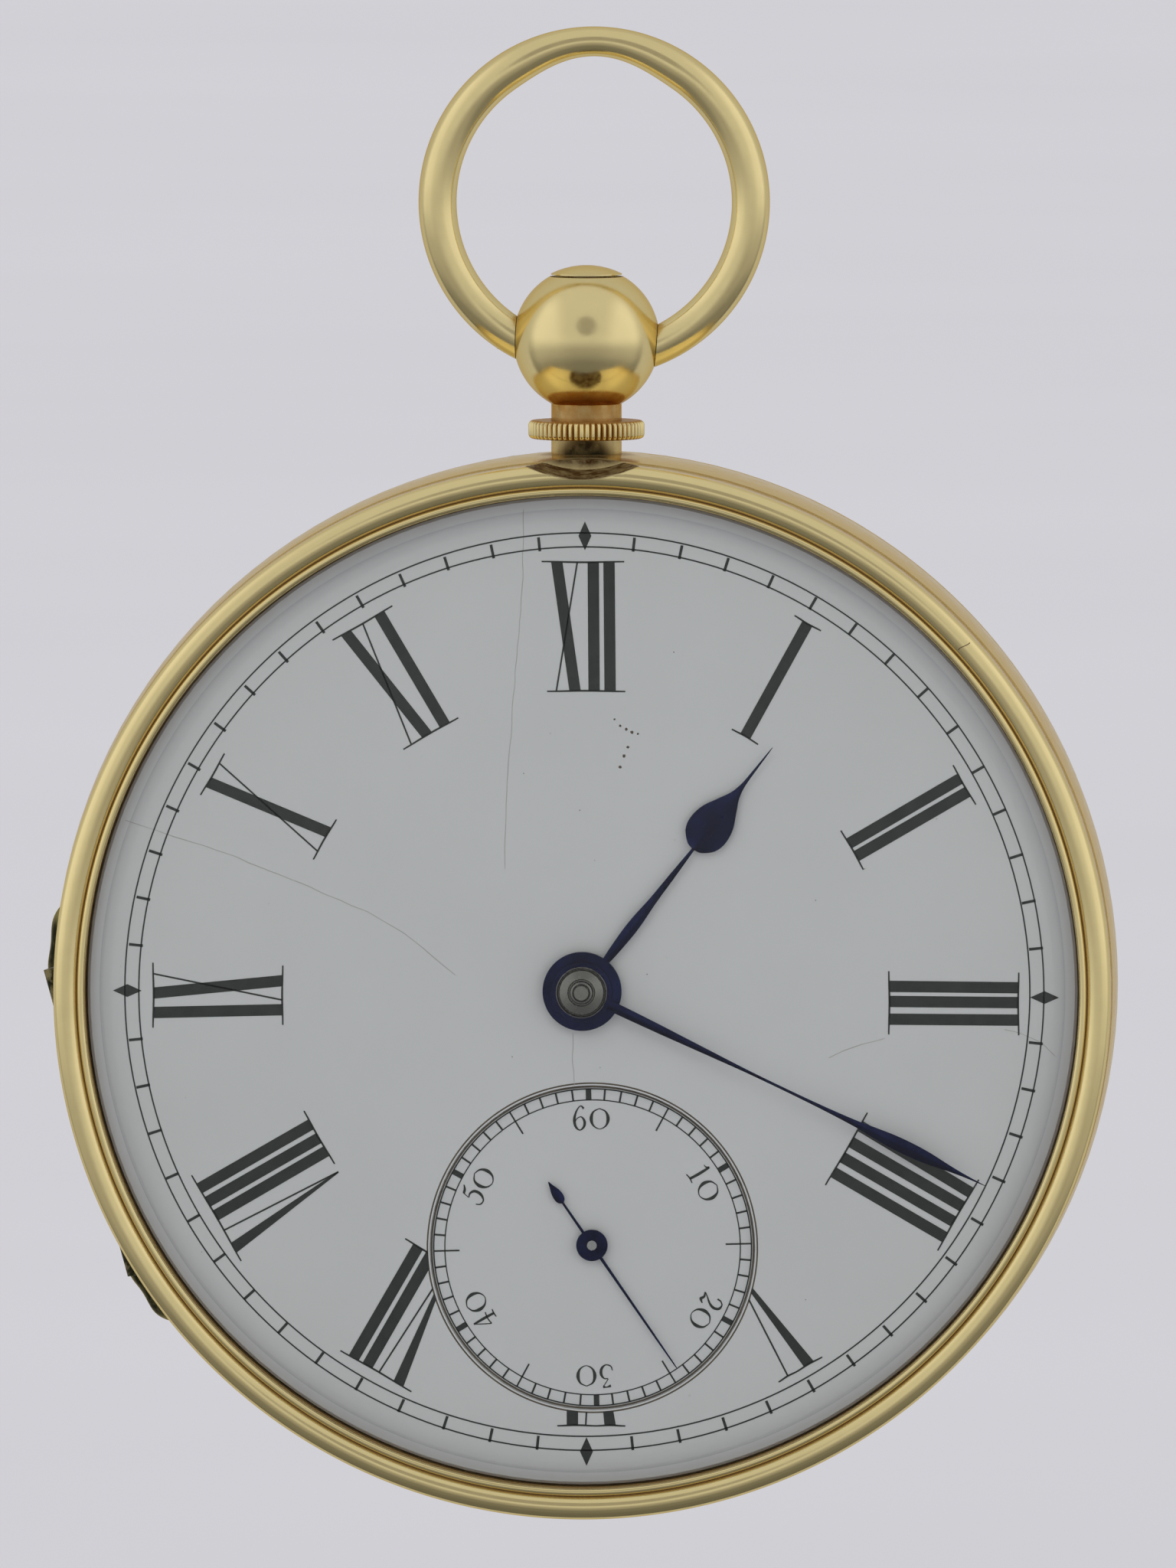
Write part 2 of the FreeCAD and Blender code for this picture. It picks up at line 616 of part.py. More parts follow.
def click():
    """The click lies beside the ratchet wheel with its nose down against a tooth's steep face."""
    shape = [(4.25, 0.02), (4.66, 1.0), (5.2, 3.6), (6.6, 4.3), (6.3, 3.0), (4.9, 0.1)]
    corners = [polar(aside, NOSE_WAY + 90, polar(out, NOSE_WAY, BARREL)) for out, aside in shape]
    body = extrude(corners, -10.1, -9.55).fuse(rod(0.95, -10.1, -9.55, CLICK))
    return body.removeSplitter().cut(rod(0.42, -11, -9, CLICK))


def click_screw():
    return screw_from_back(CLICK, 0.75, -10.5, -10.15, 0.35, -8.9)


def click_spring():
    heel = polar(1.4, NOSE_WAY + 20, CLICK)
    start = polar(4.0, NOSE_WAY + 50, CLICK)
    leaf = bar(start, heel, 0.25, -9.95, -9.6)
    return leaf.fuse(rod(0.55, -9.95, -9.5, start)).removeSplitter()


# Train

def centre_wheel():
    return train_wheel(CENTRE_TEETH, CENTRE_MODULE, -4.55, -4.2, CENTRE, bearing(CENTRE, THIRD),
                       0.7, 1.5, 0.8)


def centre_pinion():
    body = leaves(CENTRE_LEAVES, BARREL_MODULE, -7.9, -4.85, CENTRE, BARREL)
    body = body.fuse([rod(0.70, -9.45, -2.25, CENTRE), rod(1.2, -4.85, -4.55, CENTRE)]).removeSplitter()
    return body.cut(rod(0.53, -10, 0, CENTRE))


def third_wheel():
    return train_wheel(THIRD_TEETH, THIRD_MODULE, -6.2, -5.9, THIRD, bearing(THIRD, FOURTH),
                       0.3, 1.1, 0.65)


def third_pinion():
    body = leaves(THIRD_LEAVES, CENTRE_MODULE, -5.1, -4.1, THIRD, CENTRE)
    shaft = arbor(THIRD, 0.3, -8.0, -4.0, -3.45, -8.55)
    return body.fuse([shaft, rod(0.8, -5.9, -5.6, THIRD)]).removeSplitter()


def fourth_wheel():
    return train_wheel(FOURTH_TEETH, FOURTH_MODULE, -4.5, -4.2, FOURTH, bearing(FOURTH, ESCAPE),
                       0.3, 0.95, 0.55)


def fourth_pinion():
    body = leaves(FOURTH_LEAVES, THIRD_MODULE, -6.5, -5.7, FOURTH, THIRD)
    shaft = rod(0.3, -8.0, -4.0, FOURTH).fuse([rod(PIVOT_R, -8.55, -7.9, FOURTH),
                                               rod(0.22, -4.1, 0.12, FOURTH)])
    return body.fuse([shaft, rod(0.75, -4.8, -4.5, FOURTH)]).removeSplitter()


def escape_wheel():
    corners = []
    for tooth in range(ESCAPE_TEETH):
        turn = ESCAPEMENT_LINE + 12 + 360 * tooth / ESCAPE_TEETH
        corners.append(polar(2.25, turn - 8, ESCAPE))
        corners.append(polar(2.35, turn - 2.5, ESCAPE))
        corners.append(polar(ESCAPE_R, turn - 1.2, ESCAPE))
        corners.append(polar(ESCAPE_R, turn + 1.2, ESCAPE))
        corners.append(polar(2.35, turn + 8, ESCAPE))
    wheel = extrude(corners, -5.35, -5.05)
    wheel = wheel.cut(windows(0.7, 1.85, -5.35, -5.05, ESCAPE, 4, 0.45, 10))
    return wheel.cut(rod(0.22, -6, -5, ESCAPE))


def escape_pinion():
    body = leaves(ESCAPE_LEAVES, FOURTH_MODULE, -4.75, -4.1, ESCAPE, FOURTH)
    shaft = arbor(ESCAPE, 0.22, -8.0, -4.0, -3.45, -8.55)
    return body.fuse([shaft, rod(0.5, -5.05, -4.75, ESCAPE)]).removeSplitter()


def pallet_places():
    """Where the two pallet stones stand: either side of the line to the escape wheel."""
    reach = ESCAPE_R / math.cos(math.radians(30)) * math.sin(math.radians(30))
    back = ESCAPEMENT_LINE + 180
    return [polar(reach, back + side * 60, LEVER) for side in (-1, 1)]


def pallet_lever():
    low, high = -5.4, -5.0
    tail = polar(4.2, ESCAPEMENT_LINE, LEVER)
    shape = bar(LEVER, polar(3.6, ESCAPEMENT_LINE, LEVER), 0.5, low, high)
    shape = shape.fuse(rod(0.45, low, high, LEVER))
    for side in (-1, 1):
        horn_start = polar(3.5, ESCAPEMENT_LINE + side * 2, LEVER)
        horn_end = polar(0.33, ESCAPEMENT_LINE + side * 90, tail)
        shape = shape.fuse(bar(horn_start, horn_end, 0.26, low, high))
    for at in pallet_places():
        outward = bearing(ESCAPE, at)
        shape = shape.fuse(bar(LEVER, polar(0.75, outward, at), 0.55, low, high))
    shape = shape.removeSplitter()
    for stone in stone_blocks():
        shape = shape.cut(stone)
    shaft = arbor(LEVER, 0.2, -5.95, -4.0, -3.45, -6.35)
    return shape.fuse(shaft).removeSplitter()


def stone_blocks():
    blocks = []
    for at in pallet_places():
        outward = bearing(ESCAPE, at)
        start = polar(0.25, outward, at)
        block = Part.makeBox(0.7, 0.32, 0.5, Vector(0, -0.16, -5.45))
        block.rotate(Vector(0, 0, 0), Vector(0, 0, 1), outward)
        block.translate(Vector(start[0], start[1], 0))
        blocks.append(block)
    return blocks


def pallet_stones():
    return Part.makeCompound(stone_blocks())


# Balance

def balance_wheel():
    rim = ring(6.2, 6.9, -8.4, -7.6, BALANCE)
    arm = bar(polar(6.4, 35, BALANCE), polar(6.4, 215, BALANCE), 0.9, -8.15, -7.85)
    wheel = rim.fuse([arm, rod(1.0, -8.15, -7.85, BALANCE)]).removeSplitter()
    return wheel.cut(rod(0.35, -9, -7, BALANCE))


def balance_screws():
    screws = []
    for place in range(14):
        turn = 35 + 13 + 360 * place / 14
        start = polar(6.9, turn, BALANCE)
        way = polar(1, turn)
        screws.append(Part.makeCylinder(0.33, 0.55, Vector(start[0], start[1], -8.0),
                                        Vector(way[0], way[1], 0)))
    return Part.makeCompound(screws)


def balance_staff():
    shaft = arbor(BALANCE, 0.35, -8.6, -6.0, -6.0, -8.7)
    lower = rod(0.25, -6.1, -4.0, BALANCE)
    collet = ring(0.2, 0.7, -9.1, -8.75, BALANCE)
    upper = rod(0.22, -9.4, -8.5, BALANCE)
    seat = rod(0.8, -7.85, -7.5, BALANCE)
    pivots = [rod(PIVOT_R, -9.95, -9.3, BALANCE), rod(PIVOT_R, -4.1, -3.45, BALANCE)]
    return shaft.fuse([lower, collet, upper, seat] + pivots).removeSplitter()


def roller():
    table = ring(0.25, 1.5, -5.95, -5.65, BALANCE)
    pin = rod(0.15, -5.7, -4.95, polar(1.1, ESCAPEMENT_LINE + 180, BALANCE))
    return table.fuse(pin).removeSplitter()


def regulator():
    hoop = ring(1.24, 1.75, -10.6, -10.35, BALANCE)
    pointer_way = bearing(BALANCE, COCK_FOOT)
    pointer = extrude([polar(1.3, pointer_way + 14, BALANCE), polar(5.6, pointer_way, BALANCE),
                       polar(1.3, pointer_way - 14, BALANCE)], -10.6, -10.35)
    tail = bar(polar(1.4, -60, BALANCE), polar(3.35, -60, BALANCE), 0.6, -10.6, -10.35)
    body = hoop.fuse([pointer, tail]).removeSplitter()
    pins = [rod(0.08, -10.5, -8.75, polar(radius, -60, BALANCE)) for radius in (3.21, 3.50)]
    body = body.cut(rod(1.24, -11, -10, BALANCE))
    return body.fuse(pins).removeSplitter()


# Dial side

def dial():
    plate = lathe([(1.5, -DIAL_T), (DIAL_R - 0.1, -DIAL_T), (DIAL_R, -DIAL_T + 0.1), (DIAL_R, -0.12),
                   (DIAL_R - 0.12, 0), (1.5, 0)])
    well = lathe([(0, 0.1), (SUNK_R + 0.1, 0.1), (SUNK_R + 0.04, 0), (SUNK_R, -SUNK_DEPTH),
                  (7.6, -SUNK_DEPTH), (7.6, -1), (0, -1)], SECONDS_DIAL)
    plate = plate.cut(well)
    feet = [rod(0.4, -3.3, -DIAL_T + 0.05, at) for at in DIAL_FEET]
    return plate.fuse(feet).removeSplitter()


def seconds_dial():
    plate = rod(7.6, -DIAL_T, -SUNK_DEPTH, SECONDS_DIAL)
    return plate.cut(rod(0.45, -1, 0, FOURTH))


def cannon_pinion():
    body = gear(CANNON_LEAVES, MINUTE_MODULE, -2.2, -1.6, CENTRE,
                bearing(CENTRE, MINUTE) + 180 / CANNON_LEAVES, 0.36, 0.75, 1.3)
    body = body.fuse(rod(0.95, -1.6, 0.92, CENTRE)).removeSplitter()
    return body.cut(rod(0.5, -3, 2, CENTRE))


def minute_wheel():
    wheel = gear(MINUTE_TEETH, MINUTE_MODULE, -2.1, -1.85, MINUTE, bearing(MINUTE, CENTRE))
    pinion = leaves(MINUTE_LEAVES, HOUR_MODULE, -1.85, -1.05, MINUTE, CENTRE)
    return wheel.fuse(pinion).removeSplitter().cut(rod(0.34, -3, 0, MINUTE))


def hour_wheel():
    wheel = gear(HOUR_TEETH, HOUR_MODULE, -1.45, -1.15, CENTRE, bearing(CENTRE, MINUTE))
    wheel = wheel.fuse(rod(1.32, -1.5, 0.5, CENTRE)).removeSplitter()
    return wheel.cut(rod(1.0, -3, 2, CENTRE))


def set_arbor():
    square = box((-0.6, -0.6, -10.95), (0.6, 0.6, -9.6))
    body = rod(0.5, -9.7, 1.3, CENTRE).fuse(square)
    return body.fuse(rod(0.32, 1.2, 1.62, CENTRE)).removeSplitter()


def hand_boss():
    return lathe([(0.5, 0.92), (1.15, 0.92), (1.15, 1.2), (0.9, 1.42, 1.1, 1.36), (0.32, 1.5),
                  (0.32, 1.3), (0.5, 1.3)])


def turned_hand(shape, degrees):
    shape.rotate(Vector(0, 0, 0), Vector(0, 0, 1), -degrees)
    return shape


def hand_side(run, side):
    """One smooth edge of a hand through (distance, half width) stations."""
    curve = Part.BSplineCurve()
    curve.interpolate([Vector(side * half, along, 0) for along, half in run])
    return curve.toShape()


def hand_outline(runs):
    """A hand pointing to 12: each run of stations ends at a corner where the next one starts."""
    base, base_half = runs[0][0]
    end, end_half = runs[-1][-1]
    tip = Vector(0, end + 0.35, 0)
    edges = [hand_side(run, 1) for run in runs]
    edges.append(Part.makeLine(Vector(end_half, end, 0), tip))
    edges.append(Part.makeLine(tip, Vector(-end_half, end, 0)))
    edges += [hand_side(run[::-1], -1) for run in reversed(runs)]
    edges.append(Part.makeLine(Vector(-base_half, base, 0), Vector(base_half, base, 0)))
    return Part.Face(Part.Wire(edges))


def hour_hand():
    stem = [(1.5, 0.13), (2.2, 0.21), (3.7, 0.27), (5.2, 0.175), (6.6, 0.13), (8.12, 0.07)]
    leaf = [(8.12, 0.07), (8.24, 0.42), (8.65, 0.83), (9.2, 0.98), (9.9, 0.88), (10.6, 0.54), (11.2, 0.24),
            (11.8, 0.10), (12.6, 0.06), (13.6, 0.03)]
    blade = hand_outline([stem, leaf]).extrude(Vector(0, 0, 0.18))
    blade.translate(Vector(0, 0, 0.28))
    hand = blade.fuse(rod(1.78, 0.2, 0.5, CENTRE)).removeSplitter()
    return turned_hand(hand.cut(rod(1.32, 0, 1, CENTRE)), HOUR_TURN)


def minute_hand():
    stations = [(1.2, 0.21), (1.9, 0.23), (3.7, 0.20), (5.1, 0.16), (6.3, 0.125), (8.4, 0.07), (10.4, 0.065),
                (12.2, 0.09), (13.7, 0.15), (14.6, 0.23), (15.5, 0.30), (16.4, 0.31), (17.2, 0.27),
                (17.9, 0.19), (18.5, 0.12), (19.2, 0.06), (19.8, 0.03)]
    blade = hand_outline([stations]).extrude(Vector(0, 0, 0.16))
    blade.translate(Vector(0, 0, 0.72))
    hand = blade.fuse(rod(1.35, 0.66, 0.92, CENTRE)).removeSplitter()
    return turned_hand(hand.cut(rod(0.95, 0, 2, CENTRE)), MINUTE_TURN)


def seconds_hand():
    low, high = -0.1, 0.02
    tail = [(-3.46, 0.02), (-3.2, 0.10), (-2.95, 0.19), (-2.65, 0.23), (-2.42, 0.17), (-2.32, 0.05)]
    shaft = [(-2.32, 0.05), (-0.5, 0.065), (0.5, 0.07), (2.0, 0.06), (4.5, 0.05), (6.4, 0.03)]
    blade = hand_outline([tail, shaft]).extrude(Vector(0, 0, high - low))
    blade.translate(Vector(0, 0, low))
    hand = blade.fuse(rod(0.71, low, high + 0.06, CENTRE)).removeSplitter()
    hand = turned_hand(hand.cut(rod(0.22, -1, 1, CENTRE)), SECOND_TURN)
    hand.translate(Vector(FOURTH[0], FOURTH[1], 0))
    return hand


def save(name, shape):
    shape = shape.copy()
    shape.rotate(Vector(0, 0, 0), Vector(1, 0, 0), 90)
    shape.exportStep("parts/" + name + ".step")


PIECES = [
    case_band, bezel, crystal, back_cover, dust_cover, pendant, knurled_collar, push_button,
    catch_spring, catch_screw, bow, pillar_plate, pillars, plate_screws, case_screws, top_plate,
    lower_jewels, upper_jewels, balance_cock, endstone, hairspring_stud, pallet_cock, cock_screws,
    barrel_drum, barrel_cover, barrel_arbor, mainspring, ratchet_wheel, click, click_screw,
    click_spring, centre_wheel, centre_pinion, third_wheel, third_pinion, fourth_wheel,
    fourth_pinion, escape_wheel, escape_pinion, pallet_lever, pallet_stones, balance_wheel,
    balance_screws, balance_staff, roller, hairspring, regulator, dial, seconds_dial,
    cannon_pinion, minute_wheel, hour_wheel, set_arbor, hand_boss, hour_hand, minute_hand,
    seconds_hand,
]

os.makedirs("parts", exist_ok=True)
for make in PIECES:
    save(make.__name__, make())
save("bezel_hinge_pin", hinge_pin(BEZEL_HINGE, BAND_FRONT_Z))
save("back_hinge_pin", hinge_pin(BACK_HINGE, BAND_BACK_Z))
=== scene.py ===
import json
import math
import random

import bpy
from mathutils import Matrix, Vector, noise


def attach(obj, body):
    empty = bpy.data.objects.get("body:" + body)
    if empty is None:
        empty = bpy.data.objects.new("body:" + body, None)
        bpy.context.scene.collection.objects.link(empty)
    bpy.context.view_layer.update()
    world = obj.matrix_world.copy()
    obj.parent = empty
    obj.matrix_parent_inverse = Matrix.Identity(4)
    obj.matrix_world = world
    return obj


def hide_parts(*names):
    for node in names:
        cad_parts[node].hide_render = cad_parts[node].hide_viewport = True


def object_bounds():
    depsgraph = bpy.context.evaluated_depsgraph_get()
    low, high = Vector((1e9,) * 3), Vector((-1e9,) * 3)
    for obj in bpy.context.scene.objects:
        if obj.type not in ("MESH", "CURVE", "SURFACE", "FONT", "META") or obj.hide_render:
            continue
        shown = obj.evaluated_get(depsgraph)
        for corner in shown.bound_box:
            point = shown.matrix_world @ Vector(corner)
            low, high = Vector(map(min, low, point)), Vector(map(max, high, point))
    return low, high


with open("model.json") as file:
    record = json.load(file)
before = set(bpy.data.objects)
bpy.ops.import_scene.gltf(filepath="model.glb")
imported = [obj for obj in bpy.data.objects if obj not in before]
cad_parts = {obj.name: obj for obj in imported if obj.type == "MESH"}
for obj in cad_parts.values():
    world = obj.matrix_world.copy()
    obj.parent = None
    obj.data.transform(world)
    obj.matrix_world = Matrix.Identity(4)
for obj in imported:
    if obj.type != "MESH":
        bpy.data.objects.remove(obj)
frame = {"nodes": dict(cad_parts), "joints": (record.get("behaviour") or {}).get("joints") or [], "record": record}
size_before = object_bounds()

# Everything is drawn in millimetres as seen facing the dial: x to 3 o'clock, y to 12, z out of the dial.
MM = 0.001

# Sizes read from the watch, in millimetres, and clock directions in degrees
BAND_MID_Z = -5.25
OPENING_R = 22.40
BEZEL_R = 23.80
BEZEL_BACK_Z = -1.45
BEZEL_FRONT_Z = 1.0
SEAT_R = 22.64
NOTCH_AT = (0.0, 28.38, 0.4)
NOTCH_R = 5.3
HINGE_TURN = 254.7
HINGE_OUT = 22.74
HINGE_R = 0.55
HINGE_LENGTH = 14.4
HINGE_Z = -1.5
KNUCKLES = 5
BALL_R = 3.3
BALL_Y = 29.1
NECK_R = 1.59
COLLAR_R = 2.62
COLLAR_LOW_Y = 24.63
COLLAR_HIGH_Y = 25.45
COLLAR_RIDGES = 60
BOW_AT = (0.35, 35.3)
BOW_OUTER_R = 7.93
BOW_SIDE_R = 0.86
BOW_TOP_R = 0.675
BOW_HALF_TURN = 161
HOUR_TURN = 37.9
MINUTE_TURN = 115.6
SECOND_TURN = 145.4

# The dial: the hand-painted printing sits slightly off its centre
SECONDS_DIAL = (0.45, -11.6)
SECONDS_ARBOR = (0.43, -11.49)
SUNK_Z = -0.28
WELL_R = 7.4
RINGS_AT = (0.08, -0.05)
MARKS_AT = (0.15, -0.145)
NUMERAL_FOOT = 13.68
NUMERAL_HEAD = 19.47
STROKE = 0.51
THIN_STROKE = 0.075
SERIF_REACH = 0.43
SERIF_WIDTH = 0.085
TRACK_INNER_R = 20.07
TRACK_OUTER_R = 20.70
SECONDS_INNER_R = 6.66
SECONDS_OUTER_R = 7.16


def place(x, y, z):
    """A point in the frame's metres."""
    return (x * MM, -z * MM, y * MM)


def polar(radius, clock_degrees, start=(0.0, 0.0)):
    """A point at a clock direction (0 is 12 o'clock, 90 is 3 o'clock)."""
    angle = math.radians(90 - clock_degrees)
    return (start[0] + radius * math.cos(angle), start[1] + radius * math.sin(angle))


def upright(centre, clock_degrees, across, out):
    """A point given across and outwards from the centre in the direction of a numeral or hand."""
    angle = math.radians(clock_degrees)
    return (centre[0] + across * math.cos(angle) + out * math.sin(angle),
            centre[1] - across * math.sin(angle) + out * math.cos(angle))


# ---------------------------------------------------------------- materials

GOLD = (0.89, 0.74, 0.375)
# DEEP_GOLD is the colour the gold's creases are darkened towards: brown dirt and painted shade.
DEEP_GOLD = (0.30, 0.14, 0.025)
GOLD_EDGE = (0.82, 0.68, 0.44, 1)
# Colours of painted shade: black at the hinges and under the pendant's neck, brown on the neck and in the hollow
# below it.
PAINTED_BLACK_SHADE = (0.018, 0.020, 0.010)
PAINTED_BROWN_SHADE = (0.060, 0.024, 0.005)
AMBER = (0.46, 0.22, 0.045)


class Nodes:
    """Short names for building a node tree. A pair is (node, output socket)."""

    def __init__(self, tree):
        self.tree = tree

    def add(self, kind, **settings):
        node = self.tree.nodes.new(kind)
        for key, value in settings.items():
            setattr(node, key, value)
        return node

    def link(self, source, socket, target, entry):
        self.tree.links.new(source.outputs[socket], target.inputs[entry])

    def fill(self, node, **values):
        """Sets inputs named by words joined with _, each to a pair or a constant."""
        for key, value in values.items():
            entry = key.replace("_", " ")
            if isinstance(value, tuple) and hasattr(value[0], "outputs"):
                self.link(*value, node, entry)
            else:
                node.inputs[entry].default_value = value
        return node

    def ramp(self, source, socket, stops, interpolation="LINEAR"):
        """Maps a value to colours or greys: stops is a list of (position, colour or grey)."""
        node = self.add("ShaderNodeValToRGB")
        node.color_ramp.interpolation = interpolation
        elements = node.color_ramp.elements
        while len(elements) < len(stops):
            elements.new(0.5)
        for element, (position, value) in zip(elements, stops):
            element.position = position
            colour = value if isinstance(value, (tuple, list)) else [value] * 3
            element.color = (*colour, 1)
        self.link(source, socket, node, "Fac")
        return (node, "Color")

    def mix(self, factor, first, second, blend="MIX"):
        """Mixes two colours; each argument is a pair or a constant."""
        node = self.add("ShaderNodeMix", data_type="RGBA", blend_type=blend)
        for index, value in ((0, factor), (6, first), (7, second)):
            if isinstance(value, tuple) and hasattr(value[0], "outputs"):
                self.link(*value, node, index)
            elif index == 0:
                node.inputs[index].default_value = value
            else:
                node.inputs[index].default_value = (*value, 1)
        return (node, 2)


class Surface(Nodes):
    """A material with one shader."""

    def __init__(self, name):
        self.material = bpy.data.materials.new(name)
        self.material.use_nodes = True
        super().__init__(self.material.node_tree)
        self.tree.nodes.clear()
        self.output = self.add("ShaderNodeOutputMaterial")
        self.shader = self.add("ShaderNodeBsdfPrincipled")
        self.link(self.shader, "BSDF", self.output, "Surface")

    def set(self, **values):
        self.fill(self.shader, **values)

    def place_on(self):
        """Where a point is on the piece, in the frame's metres."""
        return self.add("ShaderNodeTexCoord")

    def noise(self, scale, detail=4.0, roughness=0.55, stretch=(1, 1, 1), distortion=0.0):
        """Cloudy noise; scale is in waves per millimetre."""
        return self.fill(self.add("ShaderNodeTexNoise"), Vector=self.scaled(scale, stretch), Scale=1.0,
                         Detail=detail, Roughness=roughness, Distortion=distortion)

    def scaled(self, scale, stretch=(1, 1, 1)):
        mapping = self.fill(self.add("ShaderNodeMapping"), Vector=(self.place_on(), "Object"),
                            Scale=dimmed(stretch, scale / MM))
        return (mapping, "Vector")

    def cloud(self, stops, *noise_settings):
        """Colours or greys that drift over the surface."""
        return self.ramp(self.noise(*noise_settings), "Fac", stops)

    def bump(self, texture, strength, distance_mm, under=None):
        """Makes a noise show as relief; under is a coarser relief that it lies on."""
        node = self.fill(self.add("ShaderNodeBump"), Height=(texture, "Fac"), Strength=strength,
                         Distance=distance_mm * MM)
        if under:
            self.fill(node, Normal=under)
        return (node, "Normal")

    def crevices(self, reach_mm, stops):
        """Dark where surfaces close in on each other."""
        node = self.add("ShaderNodeAmbientOcclusion", samples=4)
        return self.ramp(self.fill(node, Distance=reach_mm * MM), "AO", stops)

    def within(self, distance, inner, outer):
        """1 up to inner millimetres, fading to 0 at outer."""
        node = self.add("ShaderNodeMapRange", interpolation_type="SMOOTHSTEP")
        self.fill(node, Value=(distance, "Value"), From_Min=inner * MM, From_Max=outer * MM,
                  To_Min=1.0, To_Max=0.0)
        return (node, 0)


def near_point(n, centre_mm, inner, outer):
    """1 within inner millimetres of a point, fading to 0 at outer."""
    distance = n.add("ShaderNodeVectorMath", operation="DISTANCE")
    distance.inputs[1].default_value = place(*centre_mm)
    n.link(n.place_on(), "Object", distance, 0)
    return n.within(distance, inner, outer)


def near_line(n, anchor_m, axis, inner, outer):
    """1 within inner millimetres of a line, fading to 0 at outer."""
    offset = n.add("ShaderNodeVectorMath", operation="SUBTRACT")
    offset.inputs[1].default_value = anchor_m
    n.link(n.place_on(), "Object", offset, 0)
    across = n.add("ShaderNodeVectorMath", operation="CROSS_PRODUCT")
    across.inputs[1].default_value = axis
    n.link(offset, "Vector", across, 0)
    length = n.add("ShaderNodeVectorMath", operation="LENGTH")
    n.link(across, "Vector", length, 0)
    return n.within(length, inner, outer)


def dimmed(colour, share):
    return [value * share for value in colour]


def gold(name, roughness=0.16, shade_dirt_and_tarnish=(), colour=GOLD, deep=DEEP_GOLD):
    """Polished gold with fine hairlines, dull patches, and brown dirt and painted shade in the creases.

    The third argument lists (function, arguments, colour, dullness) for places darkened further: with painted
    shade, with dirt and painted shade, and with tarnish."""
    n = Surface(name)
    tone = n.cloud([(0.3, dimmed(colour, 0.94)), (0.7, colour)], 0.25, 5, 0.6)
    # Brown dirt and painted shade: creases darken towards the deep colour and turn duller.
    dirt = n.crevices(0.9, [(0.12, 0.8), (0.75, 0.0)])
    shade = n.mix(dirt, tone, deep)
    patchy = n.cloud([(0.35, 0.7), (0.55, 1.0)], 1.6, 4, 0.65)
    # Each listed place is darkened with its own colour: mostly painted shade, with some dirt and tarnish.
    for where, arguments, shade_and_stain_colour, dullness in shade_dirt_and_tarnish:
        mask = n.mix(1.0, where(n, *arguments), patchy, "MULTIPLY")
        shade = n.mix(mask, shade, shade_and_stain_colour)
        dirt = n.mix(1.0, dirt, n.mix(dullness, (0, 0, 0), mask), "LIGHTEN")
    worn = n.cloud([(0.3, roughness * 0.7), (0.75, roughness * 1.6)], 1.3, 6, 0.7)
    dents = n.bump(n.noise(0.5, 2, 0.5), 0.10, 0.10)
    scratches = n.bump(n.noise(7.0, 3, 0.7, (1, 1, 0.12), 1.5), 0.05, 0.01, under=dents)
    n.set(Base_Color=shade, Metallic=n.mix(dirt, (1, 1, 1), (0.35, 0.35, 0.35)),
          Specular_IOR_Level=n.mix(dirt, (0.5, 0.5, 0.5), (0.08, 0.08, 0.08)), Specular_Tint=GOLD_EDGE,
          Roughness=n.mix(dirt, worn, (0.5, 0.5, 0.5)), Normal=scratches)
    return n.material


def enamel(name, colour):
    """White enamel: glossy, faintly mottled, with a few specks."""
    n = Surface(name)
    tone = n.cloud([(0.35, dimmed(colour, 0.975)), (0.65, colour)], 0.12, 3, 0.6)
    speck = n.fill(n.add("ShaderNodeTexVoronoi"), Vector=n.scaled(0.45), Scale=1.0)
    dots = n.ramp(speck, "Distance", [(0.0, 0.6), (0.045, 1.0)])
    rare = n.cloud([(0.58, 0.0), (0.62, 1.0)], 0.4, 2)
    n.set(Base_Color=n.mix(1.0, tone, n.mix(rare, (1, 1, 1), dots), "MULTIPLY"), Roughness=0.12, IOR=1.5,
          Normal=n.bump(n.noise(0.35, 2), 0.05, 0.05))
    return n.material


def paint(name, dark, light):
    """Fired paint on the enamel, slightly uneven."""
    n = Surface(name)
    n.set(Base_Color=n.cloud([(0.3, dark), (0.75, light)], 1.1, 4, 0.6), Roughness=0.35)
    return n.material


def metal(name, colour, roughness, variation=0.08, frost=0.08):
    """Plain metal with uneven polish, grain and painted shade in the corners."""
    n = Surface(name)
    tone = n.cloud([(0.3, dimmed(colour, 1 - variation)), (0.7, colour)], 0.8, 4, 0.6)
    # Painted shade: corners and creases are darkened to near black.
    crease_shade = n.crevices(0.4, [(0.1, 0.6), (0.6, 0.0)])
    worn = n.cloud([(0.3, roughness * 0.75), (0.75, roughness * 1.4)], 3.0, 4, 0.6)
    n.set(Base_Color=n.mix(crease_shade, tone, (0.05, 0.04, 0.03)), Metallic=1.0, Roughness=worn,
          Normal=n.bump(n.noise(8.0, 3, 0.6), frost, 0.01))
    return n.material


def blued(name, deep, bright):
    """Heat-blued steel: near black face on, glowing blue where it catches the light."""
    n = Surface(name)
    n.set(Base_Color=n.cloud([(0.3, deep), (0.75, bright)], 0.9, 4, 0.6), Metallic=1.0,
          Roughness=n.cloud([(0.3, 0.16), (0.75, 0.30)], 4.0, 4, 0.6),
          Normal=n.bump(n.noise(9.0, 3, 0.6), 0.06, 0.01))
    return n.material


